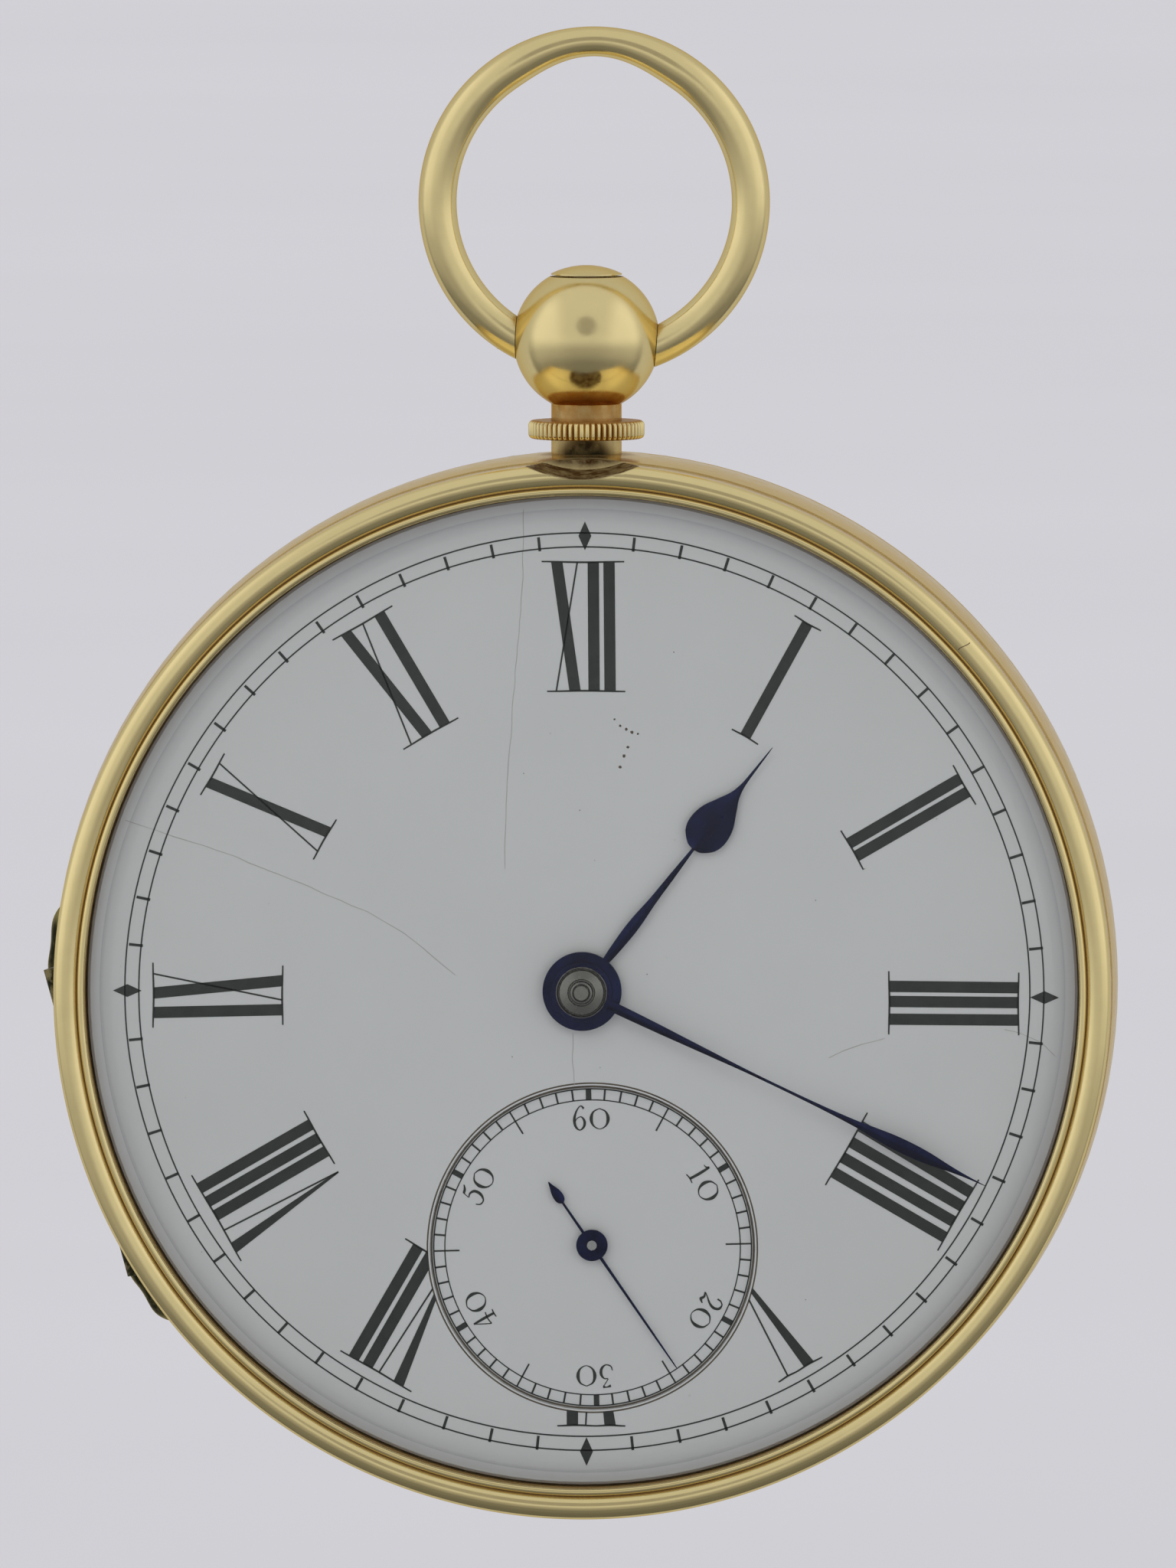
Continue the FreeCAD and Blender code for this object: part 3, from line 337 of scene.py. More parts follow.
def clear_glass(name):
    """Crystal: clear glass that lets light pass straight through, darker at its edge, with faint smears."""
    n = Surface(name)
    n.tree.nodes.remove(n.shader)
    tilt = n.fill(n.add("ShaderNodeLayerWeight"), Blend=0.5)
    through = n.add("ShaderNodeBsdfTransparent")
    n.link(*n.ramp(tilt, "Facing", [(0.0, (0.985, 0.992, 0.988)), (0.55, (0.97, 0.975, 0.98)),
                                    (0.9, (0.82, 0.83, 0.85))]), through, "Color")
    gloss = n.add("ShaderNodeBsdfGlossy")
    n.link(*n.cloud([(0.4, 0.03), (0.75, 0.10)], 0.15, 4, 0.6), gloss, "Roughness")
    mixer = n.add("ShaderNodeMixShader")
    n.link(*n.ramp(tilt, "Facing", [(0.0, 0.017), (0.5, 0.045), (0.75, 0.16), (1.0, 0.9)]), mixer, "Fac")
    n.link(through, "BSDF", mixer, 1)
    n.link(gloss, "BSDF", mixer, 2)
    n.link(mixer, "Shader", n.output, "Surface")
    return n.material


def ruby(name):
    """Ruby bearing stone, clear pink-red with darker clouds."""
    n = Surface(name)
    n.set(Base_Color=n.cloud([(0.3, (0.35, 0.01, 0.05)), (0.7, (0.60, 0.03, 0.12))], 2.0, 3),
          Roughness=0.06, Transmission_Weight=0.5, IOR=1.76)
    return n.material


HINGES = {joint["name"]: (joint["pos_m"], joint["axis"]) for joint in frame["joints"]
          if joint["name"] in ("bezel_open", "back_open")}
PENDANT_AXIS = (place(0.0, 0.0, BAND_MID_Z), (0, 0, 1))

# Places darkened by painted shade, by dirt and painted shade, and by tarnish: (function, its arguments, colour,
# dullness)
# Painted shade: black along both hinges, where the knuckles sit between the parts.
FRONT_HINGE_SHADE = (near_line, (*HINGES["bezel_open"], 0.62, 1.0), PAINTED_BLACK_SHADE, 1.0)
BACK_HINGE_SHADE = (near_line, (*HINGES["back_open"], 0.62, 1.0), PAINTED_BLACK_SHADE, 1.0)
# Painted shade at the pendant's neck: black below it, brown on it.
NECK_SHADE = (near_point, ((0.0, 23.1, -3.9), 0.9, 1.9), PAINTED_BLACK_SHADE, 1.0)
NECK_BROWN_SHADE = (near_point, ((0.0, 23.8, -3.7), 0.6, 1.7), PAINTED_BROWN_SHADE, 0.3)
BALL_TARNISH = (near_point, ((0.0, 26.75, BAND_MID_Z), 1.5, 2.7), AMBER, 0.05)
# Amber dirt and painted shade in the grooves of the collar's knurling.
GROOVE_DIRT_AND_SHADE = (near_line, (*PENDANT_AXIS, 2.44, 2.59), AMBER, 0.6)
# Painted shade: brown in the bezel's hollow under the pendant and round the neck's foot.
NOTCH_SHADE = (near_point, (NOTCH_AT, NOTCH_R + 0.02, NOTCH_R + 0.10), PAINTED_BROWN_SHADE, 1.0)
FOOT_SHADE = (near_point, (NOTCH_AT, NOTCH_R - 0.3, NOTCH_R + 0.15), PAINTED_BROWN_SHADE, 1.0)
LOOKS = {
    "gold_case": gold("gold_case", shade_dirt_and_tarnish=[FRONT_HINGE_SHADE, BACK_HINGE_SHADE, FOOT_SHADE]),
    "gold_pendant": gold("gold_pendant", shade_dirt_and_tarnish=[BALL_TARNISH, NECK_BROWN_SHADE, NECK_SHADE]),
    "gold_collar": gold("gold_collar", shade_dirt_and_tarnish=[GROOVE_DIRT_AND_SHADE]),
    # hinge_grime: dull dark gold, black in its creases and along the bezel hinge, is painted shade.
    "hinge_grime": gold("hinge_grime", 0.35, [FRONT_HINGE_SHADE], (0.30, 0.27, 0.12), PAINTED_BLACK_SHADE),
    "gold_bezel": gold("gold_bezel", 0.14, [FRONT_HINGE_SHADE, NOTCH_SHADE]),
    "gold_cover": gold("gold_cover", 0.13, [BACK_HINGE_SHADE]),
    "crystal": clear_glass("crystal_glass"),
    "enamel": enamel("white_enamel", (0.63, 0.635, 0.63)),
    "blued_steel": blued("blued_steel", (0.005, 0.006, 0.027), (0.014, 0.021, 0.085)),
    "polished_steel": metal("polished_steel", (0.62, 0.62, 0.63), 0.14),
    # boss_steel is polished steel darkened: painted shade on the hand boss and the arbor's end.
    "boss_steel": metal("boss_steel", (0.27, 0.265, 0.245), 0.24, 0.18),
    "grey_steel": metal("grey_steel", (0.42, 0.42, 0.43), 0.26, 0.12),
    "gilt_plate": metal("gilt_plate", (0.83, 0.62, 0.28), 0.42, 0.1, frost=0.5),
    "gilt_wheel": metal("gilt_wheel", (0.85, 0.66, 0.32), 0.22, 0.1),
    "spring_steel": metal("spring_steel", (0.25, 0.26, 0.30), 0.25, 0.15),
    "ruby": ruby("ruby_jewel"),
}
INK = paint("black_enamel_ink", (0.006, 0.010, 0.008), (0.018, 0.024, 0.019))
HAIRLINE = paint("enamel_crack", (0.33, 0.32, 0.28), (0.46, 0.46, 0.44))
SEAM = paint("sunk_seam", (0.05, 0.035, 0.02), (0.13, 0.10, 0.065))
SCORE = paint("old_score", (0.10, 0.06, 0.02), (0.22, 0.14, 0.05))

# The arbor's end takes the darker boss steel, painted shade.
NODE_LOOKS = {"set_arbor": "boss_steel"}

for entry in frame["record"]["subparts"]:
    surfaces = frame["nodes"][entry["node"]].data.materials
    surfaces.clear()
    surfaces.append(LOOKS[NODE_LOOKS.get(entry["node"], entry["material_slot"])])


# ---------------------------------------------------------------- mesh building

def make(name, shape, body, material, stands_for=None, smooth=True):
    """A mesh piece from (points in millimetres, faces) that rides on a body."""
    points, faces = shape
    mesh = bpy.data.meshes.new(name)
    mesh.from_pydata([place(*point) for point in points], [], faces)
    mesh.validate()
    mesh.update()
    if smooth:
        smoothed(mesh)
    piece = bpy.data.objects.new(name, mesh)
    bpy.context.scene.collection.objects.link(piece)
    mesh.materials.append(material)
    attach(piece, body)
    if stands_for:
        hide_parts(stands_for)
    return piece


def smoothed(mesh, sharp_degrees=40):
    mesh.polygons.foreach_set("use_smooth", [True] * len(mesh.polygons))
    mesh.set_sharp_from_angle(angle=math.radians(sharp_degrees))


def skin(rows, columns, rows_closed=True, columns_closed=True):
    """Four-cornered faces between rows of points."""
    faces = []
    for row in range(rows if rows_closed else rows - 1):
        here = row * columns
        there = (row + 1) % rows * columns
        for i in range(columns if columns_closed else columns - 1):
            j = (i + 1) % columns
            faces.append((here + i, there + i, there + j, here + j))
    return faces


def curved(points, steps):
    """Points on a smooth (Catmull-Rom) curve through the given ones."""
    padded = [Vector(point) for point in (points[0], *points, points[-1])]
    path = []
    for before, start, end, after in zip(padded, padded[1:], padded[2:], padded[3:]):
        bend = 2 * before - 5 * start + 4 * end - after
        twist = 3 * start - before - 3 * end + after
        for step in range(steps):
            t = step / steps
            path.append(0.5 * (2 * start + (end - before) * t + bend * t ** 2 + twist * t ** 3))
    path.append(padded[-1])
    return path


def arc_points(start, via, end, steps):
    """Points after start along the circle through three points, up to end."""
    (ax, ay), (bx, by), (cx, cy) = start, via, end
    twice = 2 * (ax * (by - cy) + bx * (cy - ay) + cx * (ay - by))
    a, b, c = ax * ax + ay * ay, bx * bx + by * by, cx * cx + cy * cy
    ux = (a * (by - cy) + b * (cy - ay) + c * (ay - by)) / twice
    uy = (a * (cx - bx) + b * (ax - cx) + c * (bx - ax)) / twice
    radius = math.hypot(ax - ux, ay - uy)
    first = math.atan2(ay - uy, ax - ux)
    middle = (math.atan2(by - uy, bx - ux) - first) % (2 * math.pi)
    last = (math.atan2(cy - uy, cx - ux) - first) % (2 * math.pi)
    if middle > last:
        last -= 2 * math.pi
    angles = [first + last * i / steps for i in range(1, steps + 1)]
    return [(ux + radius * math.cos(angle), uy + radius * math.sin(angle)) for angle in angles]


def outline(corners, steps=14):
    """An outline from (a, b) corners; (a, b, via_a, via_b) is reached by an arc through via."""
    line = [corners[0][:2]]
    for corner in corners[1:]:
        if len(corner) == 4:
            line += arc_points(line[-1], corner[2:], corner[:2], steps)
        else:
            line.append(corner)
    return line


def softened(line, radius, closed=True, steps=4):
    """Rounds the sharp corners of an outline, as polishing does."""
    result = []
    count = len(line)
    for i, here in enumerate(line):
        if not closed and i in (0, count - 1):
            result.append(here)
            continue
        p = Vector(here)
        before = Vector(line[i - 1]) - p
        after = Vector(line[(i + 1) % count]) - p
        if before.length < 1e-6 or after.length < 1e-6 or before.angle(after) > math.radians(155):
            result.append(here)
            continue
        cut = min(radius, 0.4 * before.length, 0.4 * after.length)
        start = p + before.normalized() * cut
        end = p + after.normalized() * cut
        for step in range(steps + 1):
            t = step / steps
            result.append(tuple((1 - t) ** 2 * start + 2 * t * (1 - t) * p + t * t * end))
    return result


def lathe(line, steps=360, centre=(0.0, 0.0), shape=None):
    """Turns a closed (radius, z) outline; shape may move each point."""
    points = []
    for step in range(steps):
        for r, z in line:
            x, y = polar(r, 360.0 * step / steps)
            if shape:
                x, y, z = shape(x, y, z)
            points.append((centre[0] + x, centre[1] + y, z))
    return points, skin(steps, len(line))


def disc_lathe(line, steps=360):
    """Turns an open outline that starts and ends on the axis, closed there by fans."""
    inner = line[1:-1]
    count = len(inner)
    points = [(*polar(r, 360.0 * step / steps), z) for step in range(steps) for r, z in inner]
    faces = skin(steps, count, columns_closed=False)
    first, last = len(points), len(points) + 1
    points += [(0.0, 0.0, line[0][1]), (0.0, 0.0, line[-1][1])]
    for step in range(steps):
        after = (step + 1) % steps
        faces.append((first, after * count, step * count))
        faces.append((last, step * count + count - 1, after * count + count - 1))
    return points, faces


def dome(rim_r, rim_z, top_z):
    """The middle point of the arc of a dome from its rim to its top on the axis."""
    rise = top_z - rim_z
    radius = (rim_r * rim_r + rise * rise) / (2 * rise)
    half = math.asin(rim_r / radius) / 2
    return (radius * math.sin(half), top_z - radius * (1 - math.cos(half)))


def merged(*shapes):
    """Several (points, faces) shapes as one."""
    points, faces = [], []
    for some_points, some_faces in shapes:
        first = len(points)
        points += some_points
        faces += [tuple(first + i for i in face) for face in some_faces]
    return points, faces


def about_pendant(shape):
    """Turns a shape drawn about z to stand about the pendant's upright axis."""
    points, faces = shape
    return [(x, z, BAND_MID_Z - y) for x, y, z in points], faces


# ---------------------------------------------------------------- case

def notched(x, y, z):
    """Pushes the bezel in below the pendant neck, where a round hollow clears it."""
    inside = NOTCH_R ** 2 - x * x - (z - NOTCH_AT[2]) ** 2
    if y > 0 and inside > 0:
        y = min(y, NOTCH_AT[1] - math.sqrt(inside))
    return x, y, z


def knuckle_spans(first):
    """(start, end) of every second knuckle along the hinge, from 0 for the band's, 1 for the bezel's."""
    pitch = HINGE_LENGTH / KNUCKLES
    starts = [pitch * i - HINGE_LENGTH / 2 for i in range(first, KNUCKLES, 2)]
    return [(start, start + pitch) for start in starts]


def bezel_knuckles():
    """The bezel's share of the hinge barrel, its ends slightly worn."""
    gap = 0.03
    barrels = []
    for start, end in knuckle_spans(1):
        ends = [(0, start + gap), (HINGE_R, start + gap), (HINGE_R, end - gap), (0, end - gap)]
        points, faces = disc_lathe(softened(ends, 0.12, closed=False), 32)
        placed = [(*upright((0, 0), HINGE_TURN, z, HINGE_OUT + x), HINGE_Z + y) for x, y, z in points]
        barrels.append((placed, faces))
    return merged(*barrels)


def off_knuckles(x, y, z):
    """Keeps the bezel's back edge off the band's knuckles."""
    angle = math.radians(HINGE_TURN)
    along = x * math.cos(angle) - y * math.sin(angle)
    out = x * math.sin(angle) + y * math.cos(angle) - HINGE_OUT
    room = HINGE_R + 0.07
    for start, end in knuckle_spans(0):
        if start - 0.04 < along < end + 0.04 and abs(out) < room:
            z = max(z, HINGE_Z + math.sqrt(room * room - out * out))
    return x, y, z


def bezel():
    """The bezel ring: outer bead, narrow groove, inner bead and the seat of the crystal."""
    back = [(22.8 + 0.2 * i, BEZEL_BACK_Z) for i in range(5)]
    front = [(BEZEL_R, BEZEL_BACK_Z), (BEZEL_R, BEZEL_FRONT_Z), (22.72, 1.06, 23.28, 1.38),
             (OPENING_R, 1.05, 22.56, 1.30)]
    seat = [(OPENING_R, 0.75), (SEAT_R, 0.75), (SEAT_R, 0.12), (OPENING_R, 0.12),
            (OPENING_R, -0.30), (22.8, -0.30)]

    def shaped(x, y, z):
        x, y, z = notched(x, y, z)
        return off_knuckles(x, y, z) if z < -1.0 else (x, y, z)

    ring = lathe(softened(outline(back + front + seat), 0.05), 900, shape=shaped)
    make("bezel_ring", merged(ring, bezel_knuckles()), "bezel", LOOKS["gold_bezel"], "bezel")


def hinge_horns():
    """Tapered lumps of worn solder where the two ends of the bezel hinge run into the case band."""
    horns = []
    along, around = 24, 16
    for first, last, height in ((269.4, 279.2, 0.66), (230.2, 239.8, 0.85)):
        points = []
        for step in range(along + 1):
            share = step / along
            swell = math.sin(math.pi * share) ** 0.6 * (0.85 + 0.15 * math.sin(9 * share))
            for side in range(around):
                angle = -2 * math.pi * side / around
                x, y = polar(23.7 + height * swell * math.cos(angle), first + (last - first) * share)
                points.append((x, y, -2.45 + 0.80 * swell * math.sin(angle)))
        horns.append((points, skin(along + 1, around, rows_closed=False)))
    # The horns' dark dull gold is painted shade.
    make("hinge_horns", merged(*horns), "case", LOOKS["hinge_grime"])


def bezel_score():
    """An old score across the bezel's bead, filled with dirt."""
    rim = (23.76, BEZEL_FRONT_Z)
    bead = [rim] + arc_points(rim, (23.28, 1.38), (22.76, 1.06), 14)
    points = []
    for i, (r, z) in enumerate(bead):
        turn = 47.5 + 0.25 * math.sin(i * 0.45) + 0.03 * i
        points += [(*polar(r, turn + side * 0.05), z + 0.012) for side in (1, -1)]
    make("bezel_score", (points, skin(len(bead), 2, False, False)), "bezel", SCORE, smooth=False)


def crystal():
    """The domed crystal with its bevelled edge."""
    profile = outline([(0, 3.2), (20.6, 1.95, *dome(20.6, 1.95, 3.2)), (22.36, 0.74, 21.85, 1.45),
                       (22.60, 0.70), (22.60, 0.15), (21.75, 0.15), (20.3, 1.38, 21.3, 0.95),
                       (0, 2.6, *dome(20.3, 1.38, 2.6))], 30)
    make("crystal_glass", disc_lathe(profile), "bezel", LOOKS["crystal"], "crystal")


def cut_by_ball(piece, centre_mm, radius_mm):
    """Cuts a ball-shaped room out of a piece and keeps the result as its mesh."""
    steps = 48
    half_circle = [(radius_mm * math.sin(math.pi * i / steps), radius_mm * math.cos(math.pi * i / steps))
                   for i in range(steps + 1)]
    points, faces = disc_lathe(half_circle, 2 * steps)
    cx, cy, cz = centre_mm
    mesh = bpy.data.meshes.new("room")
    mesh.from_pydata([place(cx + x, cy + y, cz + z) for x, y, z in points], [], faces)
    room = bpy.data.objects.new("room", mesh)
    bpy.context.scene.collection.objects.link(room)
    bpy.context.view_layer.update()
    cutter = piece.modifiers.new("room", "BOOLEAN")
    cutter.operation = "DIFFERENCE"
    cutter.solver = "EXACT"
    cutter.object = room
    result = bpy.data.meshes.new_from_object(piece.evaluated_get(bpy.context.evaluated_depsgraph_get()))
    piece.modifiers.clear()
    piece.data = result
    bpy.data.objects.remove(room)
    smoothed(result)


def bow():
    """The bow: a round wire ring, thinner at the top, whose ends meet the ball on two pins."""
    points = []
    rings, sides = 300, 40
    for step in range(rings + 1):
        turn = BOW_HALF_TURN * (2 * step / rings - 1)
        share = math.sin(math.radians(90 * min(abs(turn) / 35, 1.0))) ** 2
        wire_r = BOW_TOP_R + (BOW_SIDE_R - BOW_TOP_R) * share
        for side in range(sides):
            angle = 2 * math.pi * side / sides
            x, y = polar(BOW_OUTER_R - wire_r + wire_r * math.cos(angle), turn, BOW_AT)
            points.append((x, y, BAND_MID_Z + wire_r * math.sin(angle)))
    faces = skin(rings + 1, sides, rows_closed=False)
    faces.append(tuple(reversed(range(sides))))
    faces.append(tuple(rings * sides + side for side in range(sides)))
    wire = make("bow_ring", (points, faces), "bow", LOOKS["gold_case"], "bow")
    cut_by_ball(wire, (0, BALL_Y, BAND_MID_Z), BALL_R + 0.02)
    pins = []
    ends = [(0, 2.35), (0.45, 2.35), (0.45, 4.05), (0, 4.05)]
    for sign in (-1, 1):
        pin, faces = disc_lathe(softened(ends, 0.08, closed=False), 32)
        pins.append(([(sign * z, BALL_Y + sign * x, BAND_MID_Z + y) for x, y, z in pin], faces))
    make("bow_pins", merged(*pins), "bow", LOOKS["gold_case"])


def pendant():
    """The hollow ball of the pendant on its short neck."""
    bore = 0.90
    cap_bore = 1.65
    join = BALL_Y - math.sqrt(BALL_R ** 2 - NECK_R ** 2)
    rim = BALL_Y + math.sqrt(BALL_R ** 2 - cap_bore ** 2)
    profile = outline([(bore, 22.85), (NECK_R, 22.85), (NECK_R, join), (cap_bore, rim, BALL_R, BALL_Y),
                       (cap_bore, 31.25), (bore, 31.25)], 72)
    ball = about_pendant(lathe(softened(profile, 0.05), 180))
    make("pendant_ball", ball, "case", LOOKS["gold_pendant"], "pendant")


def collar():
    """The knurled collar, its ridges worn down unevenly, most of all at the front."""
    inner_r = NECK_R + 0.01
    profile = softened(outline([(inner_r, COLLAR_LOW_Y), (2.40, COLLAR_LOW_Y),
                                (COLLAR_R, COLLAR_LOW_Y + 0.2, 2.56, COLLAR_LOW_Y + 0.06),
                                (COLLAR_R, COLLAR_HIGH_Y - 0.2),
                                (2.40, COLLAR_HIGH_Y, 2.56, COLLAR_HIGH_Y - 0.06),
                                (inner_r, COLLAR_HIGH_Y)], 6), 0.03)

    def ridged(x, y, z):
        r = math.hypot(x, y)
        if r < 2.3:
            return x, y, z
        turn = math.degrees(math.atan2(x, y)) % 360
        phase = (turn / 360 * COLLAR_RIDGES) % 1.0
        wear = 0.75 + 0.5 * noise.noise(Vector((x * 1.3, y * 1.3, z * 2.0)))
        front = math.exp(-((turn - 180) / 16) ** 2)
        depth = 0.25 * max(0.3, wear) * (1 - 0.3 * front)
        cut = depth * (1 - abs(math.sin(math.pi * phase))) * min(1.0, (r - 2.3) / 0.2)
        return x * (r - cut) / r, y * (r - cut) / r, z

    ring = about_pendant(lathe(profile, COLLAR_RIDGES * 14, shape=ridged))
    make("collar_ring", ring, "case", LOOKS["gold_collar"], "knurled_collar")


# ---------------------------------------------------------------- hands

def blade(stations, turn, low, edge, ridge, centre=(0.0, 0.0)):
    """A hand's blade through (distance, half width) stations, its filed flanks meeting in a ridge."""
    dense = curved(stations, 10)
    points = []
    for along, half in dense:
        half = max(half, 0.01)
        rise = edge + (ridge - edge) * min(1.0, half / 0.25)
        for across, z in ((-half, low), (-half, edge), (0.0, rise), (half, edge), (half, low)):
            points.append((*upright(centre, turn, across, along), z))
    last = 5 * (len(dense) - 1)
    faces = skin(len(dense), 5, rows_closed=False)
    return points, faces + [(4, 3, 2, 1, 0), tuple(last + side for side in range(5))]


def hub(inner, outer, low, high, centre=(0.0, 0.0)):
    """The round hub of a hand, its edges broken."""
    return lathe(softened([(inner, low), (outer, low), (outer, high), (inner, high)], 0.04), 120, centre)


def steel_piece(name, shapes, body, stands_for, look="blued_steel"):
    """A piece of filed steel, its facets kept crisp."""
    piece = make(name, merged(*shapes), body, LOOKS[look], stands_for)
    smoothed(piece.data, sharp_degrees=7)


def hour_hand():
    stem = [(1.5, 0.13), (2.2, 0.21), (3.7, 0.27), (5.2, 0.175), (6.6, 0.13), (8.12, 0.07)]
    leaf = [(8.12, 0.07), (8.24, 0.42), (8.65, 0.83), (9.2, 0.98), (9.9, 0.88), (10.6, 0.54),
            (11.2, 0.24), (11.8, 0.10), (12.6, 0.06), (13.6, 0.03), (13.95, 0.01)]
    shapes = [blade(stem, HOUR_TURN, 0.28, 0.36, 0.46),
              blade(leaf, HOUR_TURN, 0.28, 0.30, 0.46), hub(1.32, 1.78, 0.20, 0.50)]
    steel_piece("hour_pointer", shapes, "hour_hand", "hour_hand")


def minute_hand():
    stations = [(1.2, 0.21), (1.9, 0.23), (3.7, 0.20), (5.1, 0.16), (6.3, 0.125), (8.4, 0.07),
                (10.4, 0.065), (12.2, 0.09), (13.7, 0.15), (14.6, 0.23), (15.5, 0.30), (16.4, 0.31),
                (17.2, 0.27), (17.9, 0.19), (18.5, 0.12), (19.2, 0.06), (19.8, 0.03), (20.15, 0.01)]
    shapes = [blade(stations, MINUTE_TURN, 0.72, 0.77, 0.88), hub(0.95, 1.35, 0.66, 0.92)]
    steel_piece("minute_pointer", shapes, "minute_hand", "minute_hand")


def seconds_hand():
    tail = [(-3.46, 0.02), (-3.2, 0.10), (-2.95, 0.19), (-2.65, 0.23), (-2.42, 0.17), (-2.32, 0.05)]
    shaft = [(-2.32, 0.05), (-0.5, 0.065), (0.5, 0.07), (2.0, 0.06), (4.5, 0.05), (6.4, 0.03), (6.75, 0.01)]
    shapes = [blade(tail, SECOND_TURN, -0.10, -0.06, 0.02, SECONDS_ARBOR),
              blade(shaft, SECOND_TURN, -0.10, -0.06, 0.02, SECONDS_ARBOR),
              hub(0.22, 0.71, -0.10, 0.08, SECONDS_ARBOR)]
    steel_piece("seconds_pointer", shapes, "fourth_wheel", "seconds_hand")


def hand_boss():
    """The polished steel boss over the hands, turned with shallow rings round the arbor's end."""
    profile = outline([(0.5, 0.92), (1.15, 0.92), (1.15, 1.24), (1.11, 1.29), (1.07, 1.10), (1.02, 1.10),
                       (0.97, 1.36, 1.0, 1.32), (0.62, 1.44), (0.585, 1.28), (0.53, 1.28), (0.49, 1.46),
                       (0.40, 1.48), (0.37, 1.34), (0.33, 1.34), (0.33, 1.2), (0.5, 1.2)], 10)
    boss = lathe(softened(profile, 0.015), 160)
    steel_piece("boss_cap", [boss], "minute_hand", "hand_boss", "boss_steel")


# ---------------------------------------------------------------- dial printing

class Print:
    """Flat painted marks gathered into one thin mesh."""

    def __init__(self, z=0.002, thickness=0.012):
        self.points = []
        self.faces = []
        self.levels = (z, z + thickness)

    def shape(self, outline):
        """A filled outline of (x, y) corners, in order, with thin painted sides."""
        first = len(self.points)
        count = len(outline)
        self.points += [(x, y, level) for level in self.levels for x, y in outline]
        self.faces.append([first + count + i for i in range(count)])
        for i in range(count):
            j = (i + 1) % count
            self.faces.append((first + i, first + j, first + count + j, first + count + i))

    def strip(self, left, right, clipped=False):
        """A painted stroke between two lines of points, kept off the seconds dial if clipped."""
        for i in range(len(left) - 1):
            corners = [left[i], left[i + 1], right[i + 1], right[i]]
            if clipped:
                corners = outside_subdial(corners)
            if len(corners) >= 3:
                self.shape(corners)

    def arc(self, centre, radius, width):
        """A painted ring."""
        edges = (radius - width / 2, radius + width / 2)
        self.strip(*([polar(edge, turn, centre) for turn in range(361)] for edge in edges))

    def tick(self, centre, turn, half, inner, outer):
        """A short radial bar."""
        self.shape([upright(centre, turn, across, out) for across, out in
                    ((-half, inner), (-half, outer), (half, outer), (half, inner))])

    def finish(self, name, material):
        make(name, (self.points, self.faces), "case", material, smooth=False)


# For each hour: thick strokes as (middle at the head, middle at the foot), hairlines the same way
NUMERALS = {
    1: ([(0.28, 0.40)], []),
    2: ([(-0.02, 0.02), (0.66, 0.68)], []),
    3: ([(-0.33, -0.38), (0.34, 0.30), (1.13, 1.10)], []),
    4: ([(-0.95, -1.05), (-0.22, -0.22), (0.57, 0.57), (1.38, 1.36)], []),
    5: ([(-0.37, 0.42)], [(0.72, 0.42)]),
    6: ([(-1.10, -0.35), (0.60, 0.60)], [(0.0, -0.35)]),
    7: ([(-1.50, -0.75), (0.12, 0.15), (0.83, 0.83)], [(-0.48, -0.75)]),
    8: ([(-2.02, -1.40), (-0.35, -0.32), (0.36, 0.36), (1.07, 1.07)], [(-1.12, -1.40)]),
    9: ([(-0.88, -0.74), (0.0, 0.57)], [(0.87, -0.30)]),
    10: ([(-0.25, 0.50)], [(0.73, -0.48)]),
    11: ([(-1.22, -0.35), (0.52, 0.57)], [(-0.35, -1.18)]),
    12: ([(-1.30, -0.48), (0.34, 0.38), (1.05, 1.10)], [(-0.38, -1.32)]),
}
# Hours whose first thick stroke narrows to the foot of a V
POINTED = (5, 6, 7, 8)


def joined(spans):
    """Joins (start, end) spans that overlap well."""
    overlap = 0.12
    result = []
    for start, end in sorted(spans):
        if result and start <= result[-1][1] - overlap:
            result[-1] = (result[-1][0], max(end, result[-1][1]))
        else:
            result.append((start, end))
    return result


def outside_subdial(outline):
    """Cuts an outline back to the part outside the seconds dial and its seam."""
    centre = Vector(SECONDS_DIAL)
    clip_r = WELL_R + 0.02
    kept = []
    for i, corner in enumerate(outline):
        here = Vector(corner)
        after = Vector(outline[(i + 1) % len(outline)])
        here_out = (here - centre).length >= clip_r
        after_out = (after - centre).length >= clip_r
        if here_out:
            kept.append(tuple(here))
        if here_out != after_out:
            low, high = 0.0, 1.0
            for _ in range(30):
                middle = (low + high) / 2
                if ((here.lerp(after, middle) - centre).length >= clip_r) == here_out:
                    low = middle
                else:
                    high = middle
            kept.append(tuple(here.lerp(after, low)))
    return kept


def paint_stroke(paint, turn, head, foot, head_width, foot_width):
    """One stroke of a numeral; head and foot are where its middle starts and ends."""
    left, right = [], []
    steps = 24
    for i in range(steps + 1):
        share = i / steps
        out = NUMERAL_HEAD + (NUMERAL_FOOT - NUMERAL_HEAD) * share
        middle = head + (foot - head) * share
        half = (head_width + (foot_width - head_width) * share) / 2
        left.append(upright(MARKS_AT, turn, middle - half, out))
        right.append(upright(MARKS_AT, turn, middle + half, out))
    paint.strip(left, right, clipped=True)


def paint_serif(paint, turn, start, end, out, sign):
    """A serif from start to end, thickest in its middle, its tips bent away from the numeral."""
    low, high = [], []
    steps = 16
    for i in range(steps + 1):
        across = start + (end - start) * i / steps
        half = SERIF_WIDTH * (0.75 + 0.25 * math.sin(math.pi * i / steps)) / 2
        middle = out + sign * 0.03 * math.cos(math.pi * i / steps) ** 2
        low.append(upright(MARKS_AT, turn, across, middle - half))
        high.append(upright(MARKS_AT, turn, across, middle + half))
    paint.strip(low, high, clipped=True)


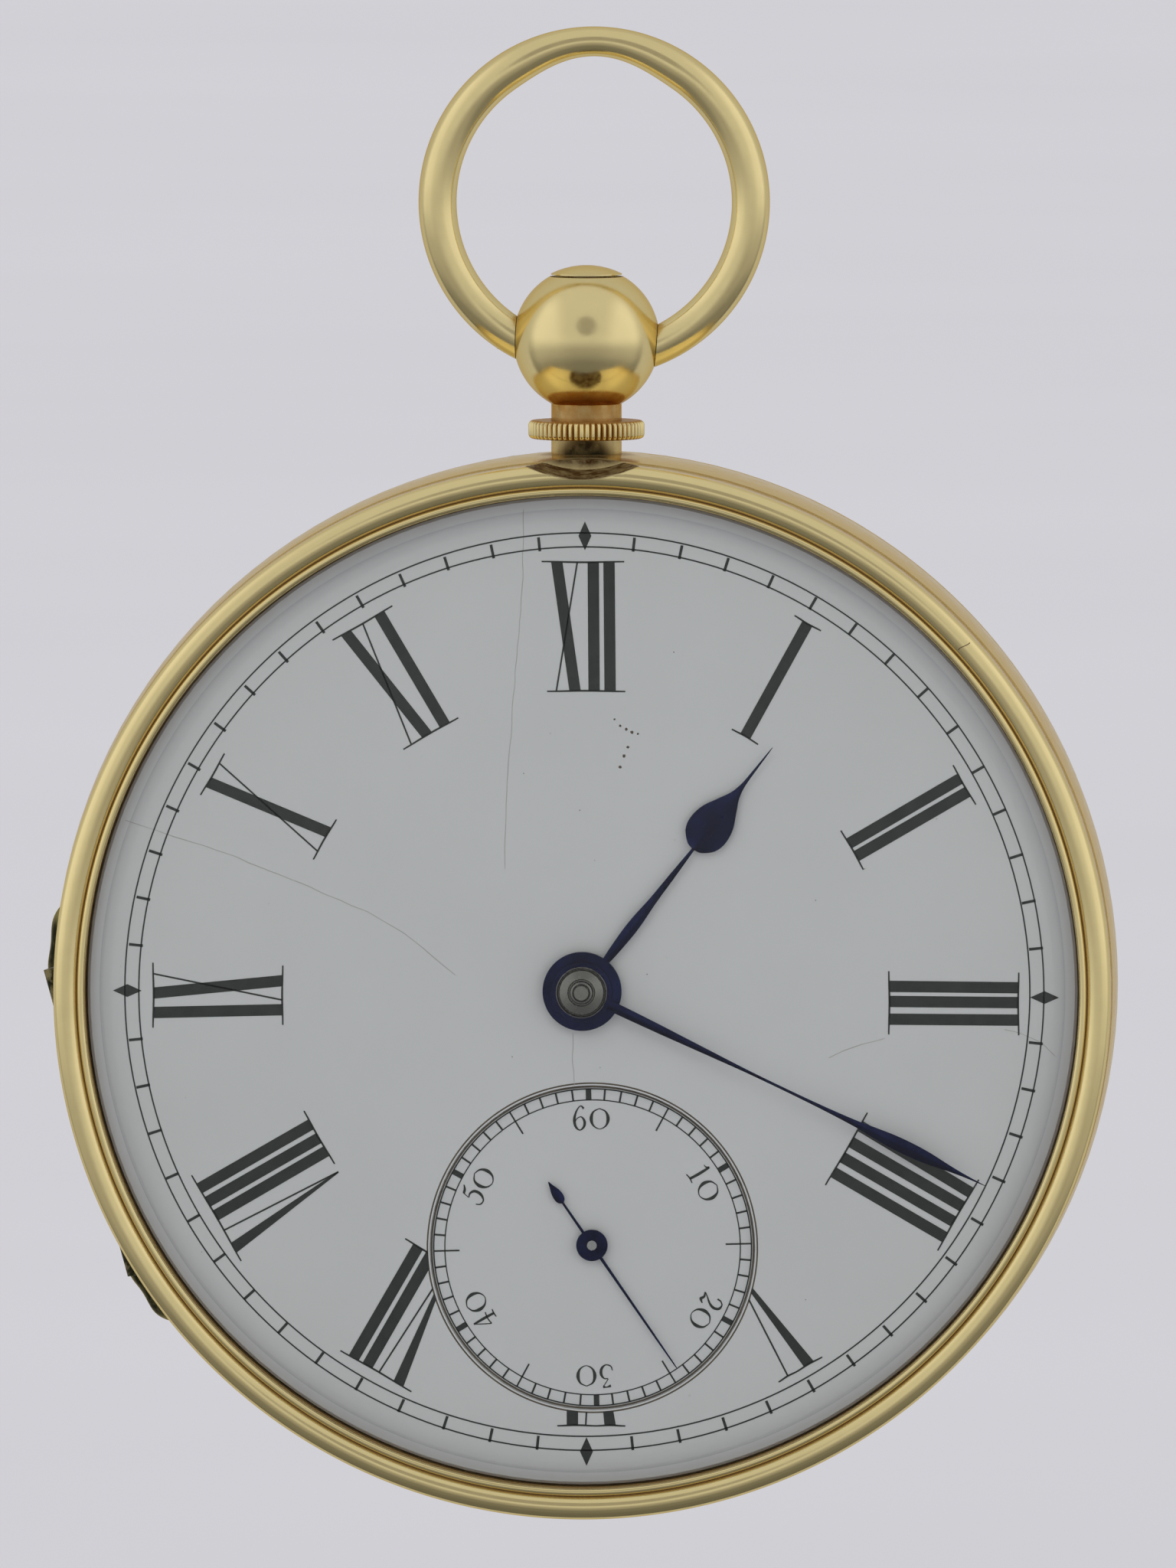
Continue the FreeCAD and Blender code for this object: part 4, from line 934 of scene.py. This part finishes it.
def hour_numerals():
    """The Roman hour numerals, their feet to the centre."""
    paint = Print()
    wide = STROKE / 2 + SERIF_REACH
    for hour, (thick, thin) in NUMERALS.items():
        turn = hour * 30
        pointed = hour in POINTED
        for index, (head, foot) in enumerate(thick):
            paint_stroke(paint, turn, head, foot, STROKE, 0.08 if pointed and index == 0 else STROKE)
        for head, foot in thin:
            paint_stroke(paint, turn, head, foot, THIN_STROKE, THIN_STROKE)
        heads = [(head - wide, head + wide) for head, _ in thick]
        heads += [(head - 0.5, head + 0.5) for head, _ in thin]
        feet = [(foot - wide, foot + wide) for _, foot in thick[1 if pointed else 0:]]
        if hour >= 9:
            feet += [(foot - 0.42, foot + 0.42) for _, foot in thin]
        for spans, out, sign in ((heads, NUMERAL_HEAD, 1), (feet, NUMERAL_FOOT, -1)):
            for start, end in joined(spans):
                paint_serif(paint, turn, start, end, out, sign)
    paint.finish("hour_numerals", INK)


def minute_track():
    """Two rings with a bar at each minute and a diamond at each quarter."""
    paint = Print()
    paint.arc(RINGS_AT, TRACK_OUTER_R, 0.065)
    paint.arc(RINGS_AT, TRACK_INNER_R, 0.065)
    middle, reach, half = 20.66, 0.65, 0.29
    for minute in range(60):
        if minute % 15:
            paint.tick(MARKS_AT, minute * 6 + 0.1, 0.062, TRACK_INNER_R, TRACK_OUTER_R)
        else:
            turn = minute * 6 + (0.3 if minute in (15, 45) else -0.1)
            paint.shape([upright(MARKS_AT, turn, across, middle + out) for across, out in
                         ((0, reach), (half, 0), (0, -reach), (-half, 0))])
    paint.finish("minute_track", INK)


# Strokes of the small figures: (x, y, width) along each stroke, in units of the figure's height
FIGURES = {
    "1": [[(-0.22, 0.36, 0.03), (-0.08, 0.38, 0.05), (0.03, 0.5, 0.07)],
          [(0.03, 0.5, 0.12), (0.05, 0.0, 0.15), (0.03, -0.46, 0.13)],
          [(-0.26, -0.5, 0.04), (0.0, -0.46, 0.06), (0.28, -0.48, 0.04)]],
    "2": [[(-0.26, 0.2, 0.10), (-0.24, 0.36, 0.07), (-0.08, 0.49, 0.06), (0.16, 0.44, 0.12),
           (0.24, 0.22, 0.14), (0.12, -0.02, 0.10), (-0.12, -0.24, 0.06), (-0.28, -0.40, 0.05)],
          [(-0.28, -0.42, 0.05), (-0.05, -0.36, 0.10), (0.14, -0.44, 0.13), (0.30, -0.30, 0.05)]],
    "3": [[(-0.22, 0.40, 0.12), (0.0, 0.46, 0.05), (0.18, 0.44, 0.12)],
          [(0.18, 0.44, 0.04), (0.0, 0.22, 0.04), (-0.08, 0.10, 0.04), (0.12, 0.08, 0.06),
           (0.27, -0.10, 0.14), (0.24, -0.34, 0.13), (0.02, -0.50, 0.05), (-0.24, -0.44, 0.06),
           (-0.32, -0.26, 0.05)]],
    "4": [[(0.08, 0.5, 0.04), (-0.16, 0.12, 0.05), (-0.34, -0.18, 0.04)],
          [(-0.34, -0.18, 0.05), (0.0, -0.14, 0.05), (0.34, -0.18, 0.05)],
          [(0.08, 0.5, 0.10), (0.09, 0.0, 0.14), (0.08, -0.5, 0.12)],
          [(-0.14, -0.5, 0.04), (0.08, -0.48, 0.06), (0.30, -0.5, 0.04)]],
    "5": [[(-0.12, 0.40, 0.10), (0.08, 0.44, 0.10), (0.28, 0.56, 0.05)],
          [(-0.12, 0.42, 0.04), (-0.20, 0.14, 0.04)],
          [(-0.20, 0.12, 0.04), (0.02, 0.16, 0.08), (0.24, 0.02, 0.14), (0.24, -0.26, 0.14),
           (0.04, -0.48, 0.06), (-0.22, -0.46, 0.06), (-0.34, -0.28, 0.05)]],
    "6": [[(0.22, 0.40, 0.11), (0.06, 0.52, 0.05), (-0.16, 0.30, 0.08), (-0.28, -0.05, 0.14),
           (-0.22, -0.36, 0.12), (0.0, -0.52, 0.05), (0.22, -0.36, 0.12), (0.25, -0.14, 0.13),
           (0.08, 0.05, 0.05), (-0.14, -0.02, 0.04), (-0.24, -0.16, 0.05)]],
    "0": [[(0.0, 0.5, 0.04), (-0.28, 0.34, 0.08), (-0.38, 0.0, 0.15), (-0.28, -0.34, 0.08),
           (0.0, -0.5, 0.04), (0.28, -0.34, 0.08), (0.38, 0.0, 0.15), (0.28, 0.34, 0.08), (0.0, 0.5, 0.04)]],
}


# Width and height of a first figure and of the nought after it
FIRST_FIGURE = (0.86, 1.05)
NOUGHT = (1.0, 0.92)


def paint_path(paint, path, edges):
    """Paints along a path; edges gives the two edge points from a point and its sideways direction."""
    left, right = [], []
    for i, point in enumerate(path):
        ahead = path[min(i + 1, len(path) - 1)] - path[max(i - 1, 0)]
        sideways = Vector((-ahead.y, ahead.x))
        sideways = sideways.normalized() if sideways.length > 1e-9 else Vector((0, 1))
        for line, edge in zip((left, right), edges(point, sideways)):
            line.append(edge)
    paint.strip(left, right)


def paint_figure(paint, figure, turn, across, out, size):
    """One figure of the seconds dial, its width and height given in millimetres as size."""
    wide, tall = size

    def edges(point, sideways):
        side = sideways * point.z / 2
        return [upright(SECONDS_DIAL, turn, across + (point.x + sign * side.x) * wide,
                        out + (point.y + sign * side.y) * tall) for sign in (1, -1)]

    for stroke in FIGURES[figure]:
        paint_path(paint, curved(stroke, 6), edges)


def seconds_track():
    """The seconds dial's rings, bars and figures; it was painted leaning a little to the left."""
    paint = Print(SUNK_Z + 0.002)
    lean = -1.5
    paint.arc(SECONDS_DIAL, SECONDS_OUTER_R, 0.06)
    paint.arc(SECONDS_DIAL, SECONDS_INNER_R, 0.05)
    for second in range(60):
        inner, half = SECONDS_INNER_R, 0.042
        if second % 10 == 0:
            half = 0.125
        elif second % 10 == 5:
            inner, half = 6.0, 0.036
        paint.tick(SECONDS_DIAL, second * 6 + lean, half, inner, SECONDS_OUTER_R)
    turns = {"60": -1.3, "10": 59.2, "20": 118.8, "30": 178.3, "40": 240.3, "50": 297.8}
    for label, turn in turns.items():
        paint_figure(paint, label[0], turn, -0.45, 5.85, FIRST_FIGURE)
        paint_figure(paint, label[1], turn, 0.45, 5.80, NOUGHT)
    paint.finish("seconds_track", INK)


def sunk_seam():
    """The dark line where the seconds dial is let into the main dial."""
    steps = 240
    low = SUNK_Z + 0.003
    floor = lathe([(7.22, low), (7.295, low), (7.295, low + 0.03), (7.22, low + 0.02)], steps, SECONDS_DIAL)
    rim = lathe([(WELL_R, -0.002), (7.47, -0.002), (7.47, 0.004), (WELL_R, 0.004)], steps, SECONDS_DIAL)
    make("sunk_seam", merged(floor, rim), "case", SEAM)


def hairlines():
    """Old cracks in the enamel: fine pale-brown lines that wander a little."""
    paint = Print(0.0015, 0.003)
    cracks = [[(-20.6, 7.65), (-16.5, 6.3), (-12.3, 4.64), (-8.7, 3.0), (-5.7, 0.7)],
              [(-2.65, 21.7), (-2.72, 18.0), (-3.05, 14.0), (-3.4, 9.0), (-3.5, 5.5)],
              [(11.1, -3.0), (12.3, -2.45), (13.6, -2.1)],
              [(19.0, -1.7), (20.3, -2.1), (21.3, -2.9)],
              [(-0.42, -1.9), (-0.44, -3.1), (-0.40, -4.3)]]

    def edges(point, sideways):
        wander = noise.noise(Vector((point.x * 1.1, point.y * 1.1, 3.0))) * 0.07
        half = 0.014 + 0.006 * noise.noise(Vector((point.x * 0.7, point.y * 0.7, 9.0)))
        return [tuple(point + sideways * (wander + sign * half)) for sign in (1, -1)]

    for crack in cracks:
        paint_path(paint, curved(crack, 14), edges)
    paint.finish("enamel_cracks", HAIRLINE)


def specks():
    """A little group of dark spots in the enamel, and a few single ones."""
    paint = Print(0.0015, 0.004)
    draw = random.Random(11)
    spots = [(1.45, 12.25, 0.05), (1.7, 11.96, 0.06), (1.98, 11.8, 0.075), (2.23, 11.66, 0.075),
             (2.5, 11.6, 0.05), (2.05, 11.0, 0.07), (1.88, 10.6, 0.08), (1.7, 10.1, 0.085)]
    for _ in range(26):
        x, y = polar(draw.uniform(3, 21.5), draw.uniform(0, 360))
        if math.dist((x, y), SECONDS_DIAL) > WELL_R + 0.2:
            spots.append((x, y, draw.uniform(0.012, 0.028)))
    corners = 9
    for x, y, size in spots:
        paint.shape([polar(size * draw.uniform(0.75, 1.15), 360 * i / corners, (x, y))
                     for i in range(corners)])
    paint.finish("enamel_specks", SEAM)


bezel()
hinge_horns()
bezel_score()
crystal()
bow()
pendant()
collar()
hour_hand()
minute_hand()
seconds_hand()
hand_boss()
hour_numerals()
minute_track()
seconds_track()
sunk_seam()
hairlines()
specks()


# ---------------------------------------------------------------- stage

BACKDROP = (0.615, 0.607, 0.645)
LID_REACH = 6.0


def stage():
    """A wide floor of plain pale paper; the watch is held above it by the reach of its opened lids."""
    z = size_before[0].z - LID_REACH * MM
    half = 4.0
    mesh = bpy.data.meshes.new("paper_floor")
    mesh.from_pydata([(x, y, z) for x, y in ((-half, -half), (half, -half), (half, half), (-half, half))],
                     [], [(0, 1, 2, 3)])
    floor = bpy.data.objects.new("paper_floor", mesh)
    bpy.context.scene.collection.objects.link(floor)
    n = Surface("paper_floor")
    tone = n.cloud([(0.3, dimmed(BACKDROP, 0.98)), (0.7, BACKDROP)], 0.01, 3)
    n.set(Base_Color=n.mix(0.75, tone, (0, 0, 0)), Emission_Color=tone, Emission_Strength=0.86,
          Roughness=0.95, Specular_IOR_Level=0.1)
    mesh.materials.append(n.material)
    floor.visible_glossy = False


def area_light(name, position_mm, size_mm, power):
    """A soft light aimed at the dial that metal and glass don't mirror."""
    data = bpy.data.lights.new(name, "AREA")
    data.shape = "RECTANGLE"
    data.size = size_mm[0] * MM
    data.size_y = size_mm[1] * MM
    data.energy = power
    light = bpy.data.objects.new(name, data)
    bpy.context.scene.collection.objects.link(light)
    light.location = place(*position_mm)
    aim = Vector(place(0, 5, 0)) - light.location
    light.rotation_euler = aim.to_track_quat("-Z", "Y").to_euler()
    light.visible_glossy = False


def studio():
    """A light tent: bright behind, a soft bright panel above the camera, dimmer walls, darkest below."""
    world = bpy.data.worlds.new("studio")
    bpy.context.scene.world = world
    world.use_nodes = True
    n = Nodes(world.node_tree)
    where = n.add("ShaderNodeTexCoord")
    parts = n.add("ShaderNodeSeparateXYZ")
    n.link(where, "Generated", parts, 0)

    def along(source, stops):
        """A smooth curve of (value, grey) points for a value from -1 to 1."""
        scale = n.fill(n.add("ShaderNodeMapRange"), Value=source, From_Min=-1.0)
        return n.ramp(scale, "Result", [((at + 1) / 2, grey) for at, grey in stops], "EASE")

    # Y is -1 towards the camera and +1 behind the watch, Z is +1 overhead
    walls = along((parts, "Y"), [(-1, 0.66), (-0.6, 0.82), (-0.1, 0.88), (0.2, 0.6), (0.3, 0.56), (1, 0.58)])
    height = along((parts, "Z"), [(-1, 0.18), (-0.6, 0.27), (-0.3, 0.52), (0.08, 1.0), (1, 1.0)])
    front = along((parts, "Y"), [(-1, 1.0), (0.2, 1.0), (0.28, 0.0), (1, 0.0)])
    tent = n.mix(front, walls, height, "MULTIPLY")
    above = along((parts, "Z"), [(-1, 0.0), (-0.05, 0.0), (0.3, 1.0), (1, 1.0)])
    middle = along((parts, "X"), [(-1, 0.0), (-0.8, 0.0), (-0.45, 1.0), (0.45, 1.0), (0.8, 0.0)])
    panel = n.mix(1.0, n.mix(1.0, above, middle, "MULTIPLY"), front, "MULTIPLY")
    tent = n.mix(panel, tent, (0.64, 0.64, 0.64))
    lens_height = math.radians(24)
    lens = n.add("ShaderNodeVectorMath", operation="DOT_PRODUCT")
    n.link(where, "Generated", lens, 0)
    lens.inputs[1].default_value = (0.03, -math.cos(lens_height), math.sin(lens_height))
    hole = along((lens, "Value"), [(-1, 0.0), (0.955, 0.0), (0.975, 1.0)])
    tent = n.mix(hole, tent, (0.36, 0.36, 0.36))
    seen = n.mix((n.add("ShaderNodeLightPath"), "Is Camera Ray"), tent, dimmed(BACKDROP, 1.05))
    n.link(*seen, n.tree.nodes["Background"], "Color")
    area_light("key", (-120, 330, 420), (300, 260), 0.27)
    area_light("fill", (380, 60, 380), (260, 300), 0.145)


AZIMUTH = 2.0
ELEVATION = 3.6
DISTANCE = 1600.0
FRAME_HEIGHT = 70.8


def photograph_camera():
    """A long lens level with the watch, a little to its right and above it."""
    data = bpy.data.cameras.new("camera")
    data.sensor_fit = "VERTICAL"
    data.sensor_height = 36.0
    data.lens = 36.0 * DISTANCE / FRAME_HEIGHT
    data.clip_start = 0.05
    data.clip_end = 50.0
    camera = bpy.data.objects.new("camera", data)
    bpy.context.scene.collection.objects.link(camera)
    target = Vector(place(0.07, 9.0, BAND_MID_Z))
    a, e = math.radians(AZIMUTH), math.radians(ELEVATION)
    away = Vector((math.sin(a) * math.cos(e), -math.cos(a) * math.cos(e), math.sin(e)))
    camera.location = target + away * DISTANCE * MM
    camera.rotation_euler = (-away).to_track_quat("-Z", "Y").to_euler()
    bpy.context.scene.camera = camera
    bpy.context.scene.view_settings.view_transform = "Standard"


stage()
studio()
photograph_camera()
